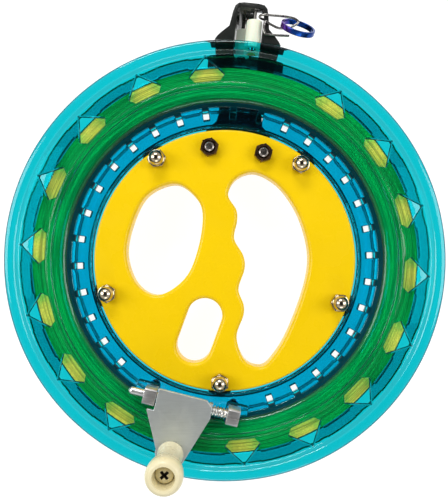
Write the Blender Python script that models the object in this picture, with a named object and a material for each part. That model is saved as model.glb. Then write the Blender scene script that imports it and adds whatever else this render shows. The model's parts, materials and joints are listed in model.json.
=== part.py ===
"""Hand-held kite line reel: a two-plate grip hub, a clear wheel that runs round it on five ball
bearings, a folding crank with a spinning knob, and a line guide that carries a snap clip and ring.

The reel lies on its back. +Z is the wheel's axis, towards the crank side; the origin is the
centre of the hub's back face. All sizes below are in millimetres and angles in degrees; new_mesh
and wire scale them to Blender's metres.
"""

import math

import bmesh
import bpy
from mathutils import Matrix, Vector

MM = 0.001
GAP = 0.3  # clearance between two pieces that touch on the real reel

# Hub: two plates with the bearings between them
HUB_RADIUS = 55.0
HUB_THICKNESS = 10.0
MID_Z = HUB_THICKNESS / 2
HOLE_ROUNDING = 1.6
HOLE_ROUNDING_DEPTH = 1.5
PALM_HOLE = (
    (-21.5, 32.4), (-13.2, 27.8), (-9.4, 19.8), (-11.2, 5.5), (-16.6, -7.2),
    (-27.6, -14.6), (-36.8, -10.4), (-41.4, 1.5), (-39.4, 14.5), (-33.0, 27.2),
)
FINGER_HOLE = (
    (12.0, 37.2), (4.6, 34.4), (1.4, 27.8), (4.9, 21.4), (5.2, 16.4), (4.0, 9.2), (7.8, 2.2),
    (8.4, -3.6), (5.8, -12.0), (7.9, -18.4), (7.9, -23.2), (5.0, -32.4), (8.4, -42.2),
    (15.6, -44.8), (21.2, -39.6), (26.8, -30.0), (33.2, -13.0), (35.6, 1.5), (32.4, 16.2),
    (26.6, 27.0), (20.0, 33.8),
)
LOCK_SLOT_ANGLE = 250.0
LOCK_SLOT_RADII = (24.8, 38.1)
LOCK_SLOT_HALF_WIDTH = 7.4

# Ball bearings, and the screws and cap nuts that hold them (M4)
BEARING_ANGLES = [51.7 + 72.0 * index for index in range(5)]
BEARING_CIRCLE = 51.0
BEARING_RADIUS = 6.5
BEARING_BORE = 2.2
BEARING_HALF_WIDTH = 2.5
POCKET_RADIUS = 6.9
POCKET_HALF_WIDTH = BEARING_HALF_WIDTH + GAP
SCREW_RADIUS = 1.9
SCREW_HEAD_RADIUS = 3.5
SCREW_HEAD_HEIGHT = 2.6
NUT_ACROSS_FLATS = 7.0
NUT_HEIGHT = 3.2
NUT_BORE = SCREW_RADIUS + 0.5
CAP_DOME = ((3.2, 2.6), (3.1, 4.9), (2.75, 6.5), (1.7, 7.6), (0.0, 8.0))
CAP_BORE_DEPTH = 5.8
CAP_NUT_TURNS = (30.0, 8.0, 30.0, 30.0, -4.0)
GUIDE_NUT_TURN = -9.0

# Wheel: two clear halves that meet at MID_Z; the profile is (radius, height above MID_Z)
WHEEL_RADIUS = 90.0
WHEEL_STEPS = 48
HALF_PROFILE = (
    (57.8, 0.15), (57.8, 2.8), (55.8, 2.8), (55.8, 4.6), (64.8, 4.6), (65.3, 8.2), (66.9, 10.5),
    (69.5, 11.2), (71.4, 12.0), (73.0, 12.0), (73.4, 11.0), (85.0, 11.0), (86.8, 12.0),
    (88.4, 13.0), (89.7, 12.2), (WHEEL_RADIUS, 11.0), (88.2, 10.2), (85.4, 8.6), (73.6, 8.6),
    (69.0, 8.4), (67.2, 7.2), (66.4, 5.0), (66.4, 0.15),
)
WINDING_PROFILE = ((66.7, 4.6), (67.6, 6.9), (69.3, 8.1), (79.8, 8.2))
SLOT_COUNT = 34
SLOT_FIRST_ANGLE = 256.2
SLOT_WIDTH = 2.5
SLOT_RADII = (59.8, 64.5)
SLOTS_SKIPPED = range(-2, 3)
FLANGE_HOLE_COUNT = 18
FLANGE_HOLE_FIRST_ANGLE = 75.5  # left solid: the maker's plain field
FLANGE_HOLE = ((74.0, -5.2), (76.4, -7.3), (84.4, 0.0), (76.4, 7.3), (74.0, 5.2))

# Crank, in the frame (radial, tangential, up) at CRANK_ANGLE on the wheel
CRANK_ANGLE = 255.9
PIN_AT = (60.5, 17.8)  # radius and height of the fold axis
PIN_RADIUS = 1.6
PIN_ENDS = (-25.2, 20.9)
LUG_SPANS = {"left": (-18.6, -13.5), "right": (16.1, 21.1)}
LUG_HALF_LENGTH = 3.3
LUG_TOP = 22.0
LUG_CHAMFER = 0.6
LUG_SEAT = (57.0, 64.3)  # radii of the recess that the shoulder leaves for a lug
PAD_SPANS = ((-23.0, -13.4), (15.4, 24.6))
PAD_RADII = (56.8, 66.0)  # straight inner edge, round outer edge
PAD_TOP = 13.6
LUG_SCREW_RADIUS = 1.2
LUG_SCREW_HEAD = (2.3, 1.8)
LUG_SCREW_AT = 59.3
LUG_SCREW_TOP = 15.0
PLATE_Z = (20.0, 21.6)
EAR_SPANS = ((-12.6, -11.2), (8.2, 9.6))
EAR_OUTLINE = (  # (out from the pin, minus height)
    (-3.1, -20.8), (3.1, -20.8), (3.1, -16.4), (1.7, -15.0), (-1.7, -15.0), (-3.1, -16.4),
)
KNOB_AT = (80.6, -2.3)
KNOB_BASE = PLATE_Z[1] + GAP
KNOB_PROFILE = (
    (1.9, 0.0), (5.1, 0.0), (5.2, 1.2), (4.7, 6.0), (4.8, 11.0), (5.8, 17.0), (6.8, 22.0),
    (7.05, 25.6), (6.6, 28.0), (5.6, 29.0), (4.1, 29.0), (4.1, 22.6), (1.9, 22.6),
)
KNOB_SCREW_HEAD = (3.4, 2.2)
KNOB_SCREW_RADIUS = 1.5
KNOB_SCREW_END = 2.4  # how far it reaches below the plate
KNOB_NUT = (5.5, 2.0)  # across flats, height
KNOB_ROUND_END = 6.2  # radius of the plate's end about the knob
SPRING_COILS = 4.5
SPRING_RADIUS = 2.15
SPRING_WIRE = 0.25

# Line guide, in the frame (radial, tangential, up) at GUIDE_ANGLE; +tangential is to the left
GUIDE_ANGLE = 84.0
GUIDE_BOLTS = ((46.3, -11.3), (46.3, 11.3))
GUIDE_BOLT_TOP = 14.4
ARM_THICKNESS = 3.5
ARM_STATIONS = (  # radius, half-width, height of the upper face
    (40.5, 13.5, -0.3), (42.5, 15.3, -0.3), (52.0, 15.3, -0.3), (56.0, 13.8, -0.3),
    (61.0, 10.2, -4.2), (66.5, 9.6, -8.4), (70.0, 10.0, -9.3), (76.0, 11.5, -9.3),
    (81.0, 15.4, -9.3), (84.0, 16.8, -9.3), (93.6, 16.8, -9.3), (95.6, 14.8, -9.3),
)
ARCH_Z = (-12.8, 13.5)
ARCH_OUTER = (
    (91.0, 13.7), (92.5, 12.8), (94.1, 11.4), (95.6, 9.8), (97.1, 8.3), (103.0, 7.4),
    (105.6, 6.7), (106.9, 5.4), (107.3, 3.0),
)
ARCH_INNER = ((91.5, 5.8), (100.6, 5.7), (104.6, 5.5), (105.4, 4.6))
PILLAR_BOX = ((94.8, 106.2), (-2.3, 3.4), (-12.0, -5.4))
CLIP_NECK_BOX = ((101.2, 105.1), (-9.0, -5.0), (-14.0, 10.0))
ARCH_GAP_BOX = ((101.2, 109.0), (-9.0, -2.7), (-14.0, 8.8))
LINE_EYE_RADIUS = 2.4
ROLLER_RADIUS = 3.25
ROLLER_SPAN = (89.0, 100.7)
ROLLERS = {"front": (-2.0, 10.9), "rear": (2.1, -1.2)}  # tangential place and height
ROLLER_PIN_RADIUS = 0.7
ROLLER_PIN_HEAD = (1.9, 0.8)  # radius, height
ROLLER_PIN_END = 106.3

# Snap clip wire and ring, (radial, tangential) in the guide's frame, at CLIP_Z
CLIP_Z = 14.4
CLIP_WIRE = 0.5
CLIP_HOOK_AT = (102.7, -6.45, 11.75)
CLIP_HOOK_RADIUS = 2.65
CLIP_ROUTE = (
    (102.75, -10.5), (102.8, -14.4), (102.4, -18.0), (101.2, -19.9), (99.7, -18.7),
    (98.4, -16.2), (97.8, -12.2), (98.9, -8.8), (99.9, -6.5), (97.5, -5.9), (94.9, -7.0),
    (94.7, -10.3), (95.0, -16.6),
)
RING_CENTRE = (30.0, 95.5, 15.6)
RING_PROFILE = (
    (6.25, -0.9), (6.45, -1.1), (7.05, -1.1), (7.25, -0.9), (7.25, 0.9), (7.05, 1.1), (6.45, 1.1),
    (6.25, 0.9),
)
RING_AXIS_ANGLE = -18.5
RING_TILT = 53.0


def clear_scene():
    for obj in list(bpy.data.objects):
        bpy.data.objects.remove(obj, do_unlink=True)


def material(name, colour, roughness, metallic=0.0, alpha=1.0):
    made = bpy.data.materials.new(name)
    made.use_nodes = True
    shader = made.node_tree.nodes["Principled BSDF"]
    shader.inputs["Base Color"].default_value = (*colour, 1.0)
    shader.inputs["Roughness"].default_value = roughness
    shader.inputs["Metallic"].default_value = metallic
    shader.inputs["Alpha"].default_value = alpha
    made.diffuse_color = (*colour, alpha)
    return made


def frame_at(name, angle):
    """An empty on the wheel's axis whose +X points along angle."""
    empty = bpy.data.objects.new(name, None)
    empty.rotation_euler = (0.0, 0.0, math.radians(angle))
    bpy.context.scene.collection.objects.link(empty)
    return empty


def new_object(name, data, finish, frame, origin, hidden):
    obj = bpy.data.objects.new(name, data)
    obj.location = Vector(origin) * MM
    obj.parent = frame
    if hidden:
        obj.hide_render = True
        obj.display_type = "WIRE"
    else:
        data.materials.append(finish)
    bpy.context.scene.collection.objects.link(obj)
    return obj


def new_mesh(name, bm, finish=None, frame=None, origin=(0.0, 0.0, 0.0), hidden=False):
    """Turns bm, in millimetres about the frame, into an object with its origin at origin."""
    bmesh.ops.translate(bm, vec=-Vector(origin), verts=bm.verts)
    bmesh.ops.scale(bm, vec=(MM, MM, MM), verts=bm.verts)
    bmesh.ops.recalc_face_normals(bm, faces=bm.faces)
    data = bpy.data.meshes.new(name)
    bm.to_mesh(data)
    bm.free()
    data.shade_smooth()
    data.set_sharp_from_angle(angle=math.radians(35))
    return new_object(name, data, finish, frame, origin, hidden)


def combine(target, other, operation):
    """Adds a Boolean of target with the hidden object other."""
    modifier = target.modifiers.new(other.name, "BOOLEAN")
    modifier.operation = operation
    modifier.solver = "EXACT"
    modifier.object = other


def lathe(profile, steps, closed=True):
    """Spins (radius, height) points about Z; an open profile starts and ends on the axis."""
    bm = bmesh.new()
    verts = [bm.verts.new((radius, 0.0, height)) for radius, height in profile]
    edges = [bm.edges.new(pair) for pair in zip(verts, verts[1:])]
    if closed:
        edges.append(bm.edges.new((verts[-1], verts[0])))
    bmesh.ops.spin(
        bm, geom=verts + edges, axis=(0, 0, 1), cent=(0, 0, 0), angle=math.tau, steps=steps
    )
    bmesh.ops.remove_doubles(bm, verts=bm.verts, dist=0.001)
    return bm


def prism(outline, bottom, top):
    """Extrudes an (x, y) outline from bottom to top."""
    bm = bmesh.new()
    base = bm.faces.new([bm.verts.new((x, y, bottom)) for x, y in outline])
    grown = bmesh.ops.extrude_face_region(bm, geom=[base])
    moved = [item for item in grown["geom"] if isinstance(item, bmesh.types.BMVert)]
    bmesh.ops.translate(bm, vec=(0.0, 0.0, top - bottom), verts=moved)
    return bm


def box(x_span, y_span, z_span):
    corners = ((x_span[0], y_span[0]), (x_span[1], y_span[0]), (x_span[1], y_span[1]),
               (x_span[0], y_span[1]))
    return prism(corners, *z_span)


def circle(radius, steps, centre=(0.0, 0.0), first=0.0):
    angles = [first + math.tau * index / steps for index in range(steps)]
    return [
        (centre[0] + radius * math.cos(angle), centre[1] + radius * math.sin(angle))
        for angle in angles
    ]


def rod(radius, bottom, top, centre=(0.0, 0.0), steps=16):
    return prism(circle(radius, steps, centre), bottom, top)


def place(bm, angle=0.0, shift=(0.0, 0.0, 0.0)):
    """Shifts a bmesh, then turns it about Z."""
    bmesh.ops.translate(bm, vec=shift, verts=bm.verts)
    turn = Matrix.Rotation(math.radians(angle), 3, "Z")
    bmesh.ops.rotate(bm, matrix=turn, cent=(0, 0, 0), verts=bm.verts)
    return bm


def lay_along(bm, direction, at):
    """Turns a bmesh's +Z to direction ("X" or "Y") and moves its origin to at."""
    matrix = {
        "X": Matrix(((0, 0, 1), (0, 1, 0), (-1, 0, 0))),
        "Y": Matrix(((1, 0, 0), (0, 0, 1), (0, -1, 0))),
    }[direction]
    bmesh.ops.rotate(bm, matrix=matrix, cent=(0, 0, 0), verts=bm.verts)
    bmesh.ops.translate(bm, vec=at, verts=bm.verts)
    return bm


def merged(pieces):
    """One bmesh that holds every bmesh in pieces, as separate shells."""
    whole = bmesh.new()
    for piece in pieces:
        holder = bpy.data.meshes.new("holder")
        piece.to_mesh(holder)
        piece.free()
        whole.from_mesh(holder)
        bpy.data.meshes.remove(holder)
    return whole


def smooth_loop(points, samples):
    """A closed Catmull-Rom curve through points, with this many samples per span."""
    count = len(points)
    knots = [Vector(point) for point in points]
    curve = []
    for index in range(count):
        before, start, end, after = (knots[(index + step) % count] for step in (-1, 0, 1, 2))
        for sample in range(samples):
            t = sample / samples
            curve.append(
                0.5 * (
                    2 * start + (end - before) * t
                    + (2 * before - 5 * start + 4 * end - after) * t ** 2
                    + (3 * start - before - 3 * end + after) * t ** 3
                )
            )
    return curve


def smooth_path(points, samples):
    """An open Catmull-Rom curve through 3-D points."""
    knots = [Vector(point) for point in points]
    knots = [2 * knots[0] - knots[1], *knots, 2 * knots[-1] - knots[-2]]
    path = []
    for index in range(1, len(knots) - 2):
        before, start, end, after = knots[index - 1:index + 3]
        for sample in range(samples):
            t = sample / samples
            path.append(
                0.5 * (
                    2 * start + (end - before) * t
                    + (2 * before - 5 * start + 4 * end - after) * t ** 2
                    + (3 * start - before - 3 * end + after) * t ** 3
                )
            )
    return [*path, knots[-2]]


def grown(outline, distance):
    """An outline moved outwards by distance; its points run clockwise or anticlockwise."""
    count = len(outline)
    area = sum(
        outline[i - 1][0] * outline[i][1] - outline[i][0] * outline[i - 1][1]
        for i in range(count)
    )
    side = distance if area > 0 else -distance
    moved = []
    for index, point in enumerate(outline):
        along = (Vector(outline[(index + 1) % count]) - Vector(outline[index - 1])).normalized()
        moved.append((point[0] + side * along.y, point[1] - side * along.x))
    return moved


def flared_cutter(name, outline, z_inner, z_face):
    """A cutter through a hub plate whose mouth opens in a rounded edge at z_face."""
    away = math.copysign(1.0, z_face - z_inner)
    levels = (
        (z_inner - away * 1.0, 0.0),
        (z_face - away * HOLE_ROUNDING_DEPTH, 0.0),
        (z_face - away * HOLE_ROUNDING_DEPTH * 0.35, HOLE_ROUNDING * 0.3),
        (z_face, HOLE_ROUNDING),
        (z_face + away * 1.0, HOLE_ROUNDING * 2.2),
    )
    bm = bmesh.new()
    rings = []
    for height, distance in levels:
        rings.append([bm.verts.new((x, y, height)) for x, y in grown(outline, distance)])
    for lower, upper in zip(rings, rings[1:]):
        for index in range(len(lower)):
            follow = (index + 1) % len(lower)
            bm.faces.new((lower[index], lower[follow], upper[follow], upper[index]))
    bm.faces.new(rings[0])
    bm.faces.new(rings[-1])
    return new_mesh(name, bm, hidden=True)


def lock_slot_outline():
    """The radial slot that takes the knob when the crank is folded right in."""
    inner, outer = LOCK_SLOT_RADII
    steps = 8
    points = []
    for centre, first in ((outer, -90.0), (inner, 90.0)):
        for index in range(steps + 1):
            angle = math.radians(first + 180.0 * index / steps)
            points.append((
                centre + LOCK_SLOT_HALF_WIDTH * math.cos(angle),
                LOCK_SLOT_HALF_WIDTH * math.sin(angle),
            ))
    turn = Matrix.Rotation(math.radians(LOCK_SLOT_ANGLE), 2)
    return [turn @ Vector(point) for point in points]


def polar(radius, angle):
    return (radius * math.cos(math.radians(angle)), radius * math.sin(math.radians(angle)))


def in_guide_frame(radius, tangential):
    turned = Matrix.Rotation(math.radians(GUIDE_ANGLE), 2) @ Vector((radius, tangential))
    return (turned.x, turned.y)


def hub_plate(name, z_inner, z_face, finish):
    low, high = sorted((z_inner, z_face))
    edge = 1.0 if z_face > z_inner else -1.0
    rim = ((HUB_RADIUS, z_inner), (HUB_RADIUS, z_face - edge), (HUB_RADIUS - 1.0, z_face))
    plate = new_mesh(name, lathe(((0.0, z_inner), *rim, (0.0, z_face)), 48, closed=False), finish)
    holes = {
        "palm": smooth_loop(PALM_HOLE, 2),
        "finger": smooth_loop(FINGER_HOLE, 2),
        "lock": lock_slot_outline(),
    }
    for hole, outline in holes.items():
        combine(plate, flared_cutter(f"{name}_{hole}_cut", outline, z_inner, z_face), "DIFFERENCE")
    bores = []
    for angle in BEARING_ANGLES:
        centre = polar(BEARING_CIRCLE, angle)
        bores.append(rod(BEARING_BORE, low - 1, high + 1, centre, 12))
    for bolt in GUIDE_BOLTS:
        bores.append(rod(BEARING_BORE, low - 1, high + 1, in_guide_frame(*bolt), 12))
    combine(plate, new_mesh(f"{name}_bores_cut", merged(bores), hidden=True), "DIFFERENCE")
    pockets = [
        rod(POCKET_RADIUS, MID_Z - POCKET_HALF_WIDTH, MID_Z + POCKET_HALF_WIDTH,
            polar(BEARING_CIRCLE, angle), 24)
        for angle in BEARING_ANGLES
    ]
    combine(plate, new_mesh(f"{name}_pockets_cut", merged(pockets), hidden=True), "DIFFERENCE")
    return plate


def bolt_mesh(head_radius, head_height, shank_radius, shank_length, steps=14):
    """A round-headed bolt: the head's underside is at 0, the head points up."""
    profile = (
        (0.0, -shank_length), (shank_radius, -shank_length), (shank_radius, 0.0),
        (head_radius, 0.0), (head_radius * 0.94, head_height * 0.45),
        (head_radius * 0.62, head_height * 0.88), (0.0, head_height),
    )
    return lathe(profile, steps, closed=False)


def upturned_bolt(top, at, head=(SCREW_HEAD_RADIUS, SCREW_HEAD_HEIGHT), shank=SCREW_RADIUS):
    """A bolt whose head hangs below at and whose shank ends at the height top."""
    bolt = bolt_mesh(*head, shank, top - at[2])
    bmesh.ops.rotate(bolt, matrix=Matrix.Rotation(math.pi, 3, "X"), cent=(0, 0, 0),
                     verts=bolt.verts)
    return place(bolt, shift=at)


def nut_mesh(across_flats, height, bore, turn=0.0):
    """A hexagon nut standing on 0; its bore is a hexagon too, and bore is its corner radius."""
    corner = across_flats / math.sqrt(3)
    bm = bmesh.new()
    steps = 6
    rings = []
    for radius, z in ((bore, 0.0), (corner, 0.0), (corner, height), (bore, height)):
        outline = circle(radius, steps, first=math.radians(turn))
        rings.append([bm.verts.new((x, y, z)) for x, y in outline])
    for lower, upper in zip(rings, [*rings[1:], rings[0]]):
        for index in range(steps):
            follow = (index + 1) % steps
            bm.faces.new((lower[index], lower[follow], upper[follow], upper[index]))
    return bm


def hub(finishes):
    hub_plate("hub_front_plate", MID_Z + GAP / 2, HUB_THICKNESS, finishes["hub"])
    hub_plate("hub_rear_plate", MID_Z - GAP / 2, 0.0, finishes["hub"])
    seat = HUB_THICKNESS + GAP
    for number, (angle, turn) in enumerate(zip(BEARING_ANGLES, CAP_NUT_TURNS), start=1):
        centre = polar(BEARING_CIRCLE, angle)
        screw = upturned_bolt(seat + CAP_BORE_DEPTH - 2 * GAP, (*centre, -GAP))
        new_mesh(f"hub_screw_{number}", screw, finishes["screw"])
        cap_nut(f"hub_cap_nut_{number}", (*centre, seat), turn, finishes["screw"])
        bearing(number, centre, finishes["bearing"])


def cap_nut(name, at, turn, finish):
    """A hexagon with a closed dome over its blind bore."""
    hexagon = prism(circle(NUT_ACROSS_FLATS / math.sqrt(3), 6, first=math.radians(turn)),
                    0.0, NUT_HEIGHT)
    nut = new_mesh(name, place(hexagon, shift=at), finish)
    dome = place(lathe(((0.0, CAP_DOME[0][1]), *CAP_DOME), 16, closed=False), shift=at)
    combine(nut, new_mesh(f"{name}_dome", dome, hidden=True), "UNION")
    bore = place(rod(NUT_BORE, -1.0, CAP_BORE_DEPTH, steps=12), shift=at)
    combine(nut, new_mesh(f"{name}_bore", bore, hidden=True), "DIFFERENCE")


def bearing(number, centre, finish):
    low, high = MID_Z - BEARING_HALF_WIDTH, MID_Z + BEARING_HALF_WIDTH
    rings = {"outer": (BEARING_RADIUS - 1.5, BEARING_RADIUS), "inner": (BEARING_BORE, 3.6)}
    for ring, (inside, outside) in rings.items():
        profile = ((inside, low), (outside, low), (outside, high), (inside, high))
        bm = place(lathe(profile, 20), shift=(*centre, 0.0))
        new_mesh(f"bearing_{ring}_ring_{number}", bm, finish, origin=(*centre, MID_Z))


def pad_outline(start, end):
    """A lug's raised pad: straight towards the hub, round where it meets the wheel's shoulder."""
    inner, outer = PAD_RADII
    places = [start + (end - start) * step / 4 for step in range(5)]
    edge = [(math.sqrt(outer ** 2 - place_at ** 2), place_at) for place_at in places]
    return [(inner, start), *edge, (inner, end)]


def wheel_half(name, side, finish):
    """One moulding of the wheel; side is 1 for the crank side and -1 for the back."""
    profile = [(radius, MID_Z + side * height) for radius, height in HALF_PROFILE]
    half = new_mesh(name, lathe(profile, WHEEL_STEPS), finish)
    if side > 0:
        pads = [prism(pad_outline(*ends), MID_Z + 2.9, PAD_TOP) for ends in PAD_SPANS]
        pads = [place(pad, CRANK_ANGLE) for pad in pads]
        combine(half, new_mesh(f"{name}_pads", merged(pads), hidden=True), "UNION")
        seats = [place(box(LUG_SEAT, (low - 0.5, high + 0.5), (PAD_TOP, LUG_TOP)), CRANK_ANGLE)
                 for low, high in LUG_SPANS.values()]
        combine(half, new_mesh(f"{name}_seats", merged(seats), hidden=True), "DIFFERENCE")
    slots = []
    for index in range(SLOT_COUNT):
        if index in SLOTS_SKIPPED or index - SLOT_COUNT in SLOTS_SKIPPED:
            continue
        slot = box(SLOT_RADII, (-SLOT_WIDTH / 2, SLOT_WIDTH / 2), (-1.0, 11.0))
        slots.append(place(slot, SLOT_FIRST_ANGLE + index * 360.0 / SLOT_COUNT))
    for index in range(1, FLANGE_HOLE_COUNT):
        angle = FLANGE_HOLE_FIRST_ANGLE + index * 360.0 / FLANGE_HOLE_COUNT
        slots.append(place(prism(FLANGE_HOLE, *sorted((MID_Z + side * 7, MID_Z + side * 14))), angle))
    for low, high in LUG_SPANS.values():
        centre = (LUG_SCREW_AT, (low + high) / 2)
        slots.append(place(rod(LUG_SCREW_RADIUS + GAP, -1.0, PAD_TOP + 1, centre, 10), CRANK_ANGLE))
    combine(half, new_mesh(f"{name}_cuts", merged(slots), hidden=True), "DIFFERENCE")


def wheel(finishes):
    wheel_half("wheel_front_half", 1, finishes["wheel"])
    wheel_half("wheel_rear_half", -1, finishes["wheel"])
    upper = [(radius, MID_Z + height) for radius, height in WINDING_PROFILE]
    lower = [(radius, MID_Z - height) for radius, height in reversed(WINDING_PROFILE)]
    new_mesh("line_winding", lathe(lower + upper, WHEEL_STEPS), finishes["line"])


def crank_lug(side, span, finish, frame):
    radius, height = PIN_AT
    low, high = radius - LUG_HALF_LENGTH, radius + LUG_HALF_LENGTH
    outline = (
        (low, PAD_TOP + GAP), (high, PAD_TOP + GAP), (high, LUG_TOP - LUG_CHAMFER),
        (high - LUG_CHAMFER, LUG_TOP), (low + LUG_CHAMFER, LUG_TOP), (low, LUG_TOP - LUG_CHAMFER),
    )
    flat = prism([(x, -z) for x, z in outline], span[0], span[1])
    lug = new_mesh(f"hinge_lug_{side}", lay_along(flat, "Y", (0, 0, 0)), finish, frame)
    pin_bore = lay_along(rod(PIN_RADIUS + GAP, span[0] - 1, span[1] + 1, steps=16), "Y",
                         (radius, 0, height))
    screw_at = (LUG_SCREW_AT, sum(span) / 2)
    screw_bore = rod(LUG_SCREW_RADIUS + GAP, PAD_TOP - 1, LUG_SCREW_TOP + GAP, screw_at, 10)
    cutter = new_mesh(f"hinge_lug_{side}_cut", merged([pin_bore, screw_bore]), None, frame,
                      hidden=True)
    combine(lug, cutter, "DIFFERENCE")
    head_z = MID_Z - HALF_PROFILE[3][1] - GAP
    return upturned_bolt(LUG_SCREW_TOP, (*screw_at, head_z), LUG_SCREW_HEAD, LUG_SCREW_RADIUS)


def plate_outline():
    """The crank plate: a notch at the left lug, tapering to a round end about the knob."""
    knob_x, knob_y = KNOB_AT
    round_end = []
    for index in range(9):
        angle = math.radians(78.0 - 172.0 * index / 8)
        round_end.append((knob_x + KNOB_ROUND_END * math.cos(angle),
                          knob_y + KNOB_ROUND_END * math.sin(angle)))
    return [
        (56.4, -13.1), (56.4, 7.0), (58.6, 9.4), (63.2, 9.8), *round_end, (65.3, -16.2),
        (65.3, -13.1),
    ]


def crank(finishes):
    frame = frame_at("crank_frame", CRANK_ANGLE)
    radius, height = PIN_AT
    for side, span in LUG_SPANS.items():
        screw = crank_lug(side, span, finishes["lug"], frame)
        new_mesh(f"lug_screw_{side}", screw, finishes["screw"], frame)

    start, end = PIN_ENDS
    pin_profile = ((0.0, start), (1.0, start + 0.15), (PIN_RADIUS, start + 0.9),
                   (PIN_RADIUS, end - 0.4), (PIN_RADIUS - 0.4, end), (0.0, end))
    pin = lay_along(lathe(pin_profile, 16, closed=False), "Y", (radius, 0, height))
    new_mesh("crank_pin", pin, finishes["screw"], frame, (radius, 0, height))

    hinge = (radius, 0.0, height)
    plate = new_mesh("crank_plate", prism(plate_outline(), *PLATE_Z), finishes["plate"], frame, hinge)
    ear_outline = [(radius + out, down) for out, down in EAR_OUTLINE]
    ears = [lay_along(prism(ear_outline, *span), "Y", (0, 0, 0)) for span in EAR_SPANS]
    combine(plate, new_mesh("crank_plate_ears", merged(ears), None, frame, hidden=True), "UNION")
    bores = [
        lay_along(rod(PIN_RADIUS + GAP, -14.0, 11.0, steps=16), "Y", (radius, 0, height)),
        rod(1.8, PLATE_Z[0] - 1, PLATE_Z[1] + 1, KNOB_AT, 12),
    ]
    combine(plate, new_mesh("crank_plate_bores", merged(bores), None, frame, hidden=True),
            "DIFFERENCE")

    knob_profile = [(r, KNOB_BASE + z) for r, z in KNOB_PROFILE]
    knob = place(lathe(knob_profile, 20), shift=(*KNOB_AT, 0))
    new_mesh("knob", knob, finishes["knob"], frame, (*KNOB_AT, KNOB_BASE))
    seat = KNOB_BASE + KNOB_PROFILE[-1][1] + GAP
    screw = bolt_mesh(*KNOB_SCREW_HEAD, KNOB_SCREW_RADIUS, seat - PLATE_Z[0] + KNOB_SCREW_END)
    new_mesh("knob_screw", place(screw, shift=(*KNOB_AT, seat)), finishes["screw"], frame)
    nut = nut_mesh(*KNOB_NUT, KNOB_SCREW_RADIUS / math.cos(math.pi / 6) + 0.2)
    place(nut, shift=(*KNOB_AT, PLATE_Z[0] - GAP - KNOB_NUT[1]))
    new_mesh("knob_nut", nut, finishes["screw"], frame)

    first, last = EAR_SPANS[1][1] + GAP + SPRING_WIRE, LUG_SPANS["right"][0] - GAP - SPRING_WIRE
    steps = int(SPRING_COILS * 8)
    route = []
    for index in range(steps + 1):
        angle = math.tau * SPRING_COILS * index / steps
        route.append((
            radius + SPRING_RADIUS * math.cos(angle),
            first + (last - first) * index / steps,
            height + SPRING_RADIUS * math.sin(angle),
        ))
    wire("crank_spring", route, SPRING_WIRE, finishes["screw"], frame, resolution=0)


def wire(name, route, radius, finish, frame=None, resolution=1):
    """A round wire along route, as a curve with filled ends."""
    data = bpy.data.curves.new(name, "CURVE")
    data.dimensions = "3D"
    data.bevel_depth = radius * MM
    data.bevel_resolution = resolution
    data.render_resolution_u = 0
    data.use_fill_caps = True
    spline = data.splines.new("POLY")
    spline.points.add(len(route) - 1)
    for point, place_at in zip(spline.points, route):
        point.co = (*(Vector(place_at) * MM), 1.0)
    return new_object(name, data, finish, frame, (0.0, 0.0, 0.0), False)


def arm_mesh():
    """The bracket's arm: a strip whose width and height follow ARM_STATIONS."""
    bm = bmesh.new()
    rings = []
    for radius, half, top in ARM_STATIONS:
        low = top - ARM_THICKNESS
        corners = ((-half, low), (half, low), (half, top), (-half, top))
        rings.append([bm.verts.new((radius, y, z)) for y, z in corners])
    for lower, upper in zip(rings, rings[1:]):
        for index in range(4):
            follow = (index + 1) % 4
            bm.faces.new((lower[index], lower[follow], upper[follow], upper[index]))
    bm.faces.new(rings[0])
    bm.faces.new(rings[-1])
    return bm


def arch_outline():
    """The guide's arch, seen from the front: an outer edge, then back round the window."""
    outer = [*ARCH_OUTER, *[(x, -y) for x, y in reversed(ARCH_OUTER)]]
    inner = [*ARCH_INNER, *[(x, -y) for x, y in reversed(ARCH_INNER)]]
    return [*outer, *reversed(inner)]


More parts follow.
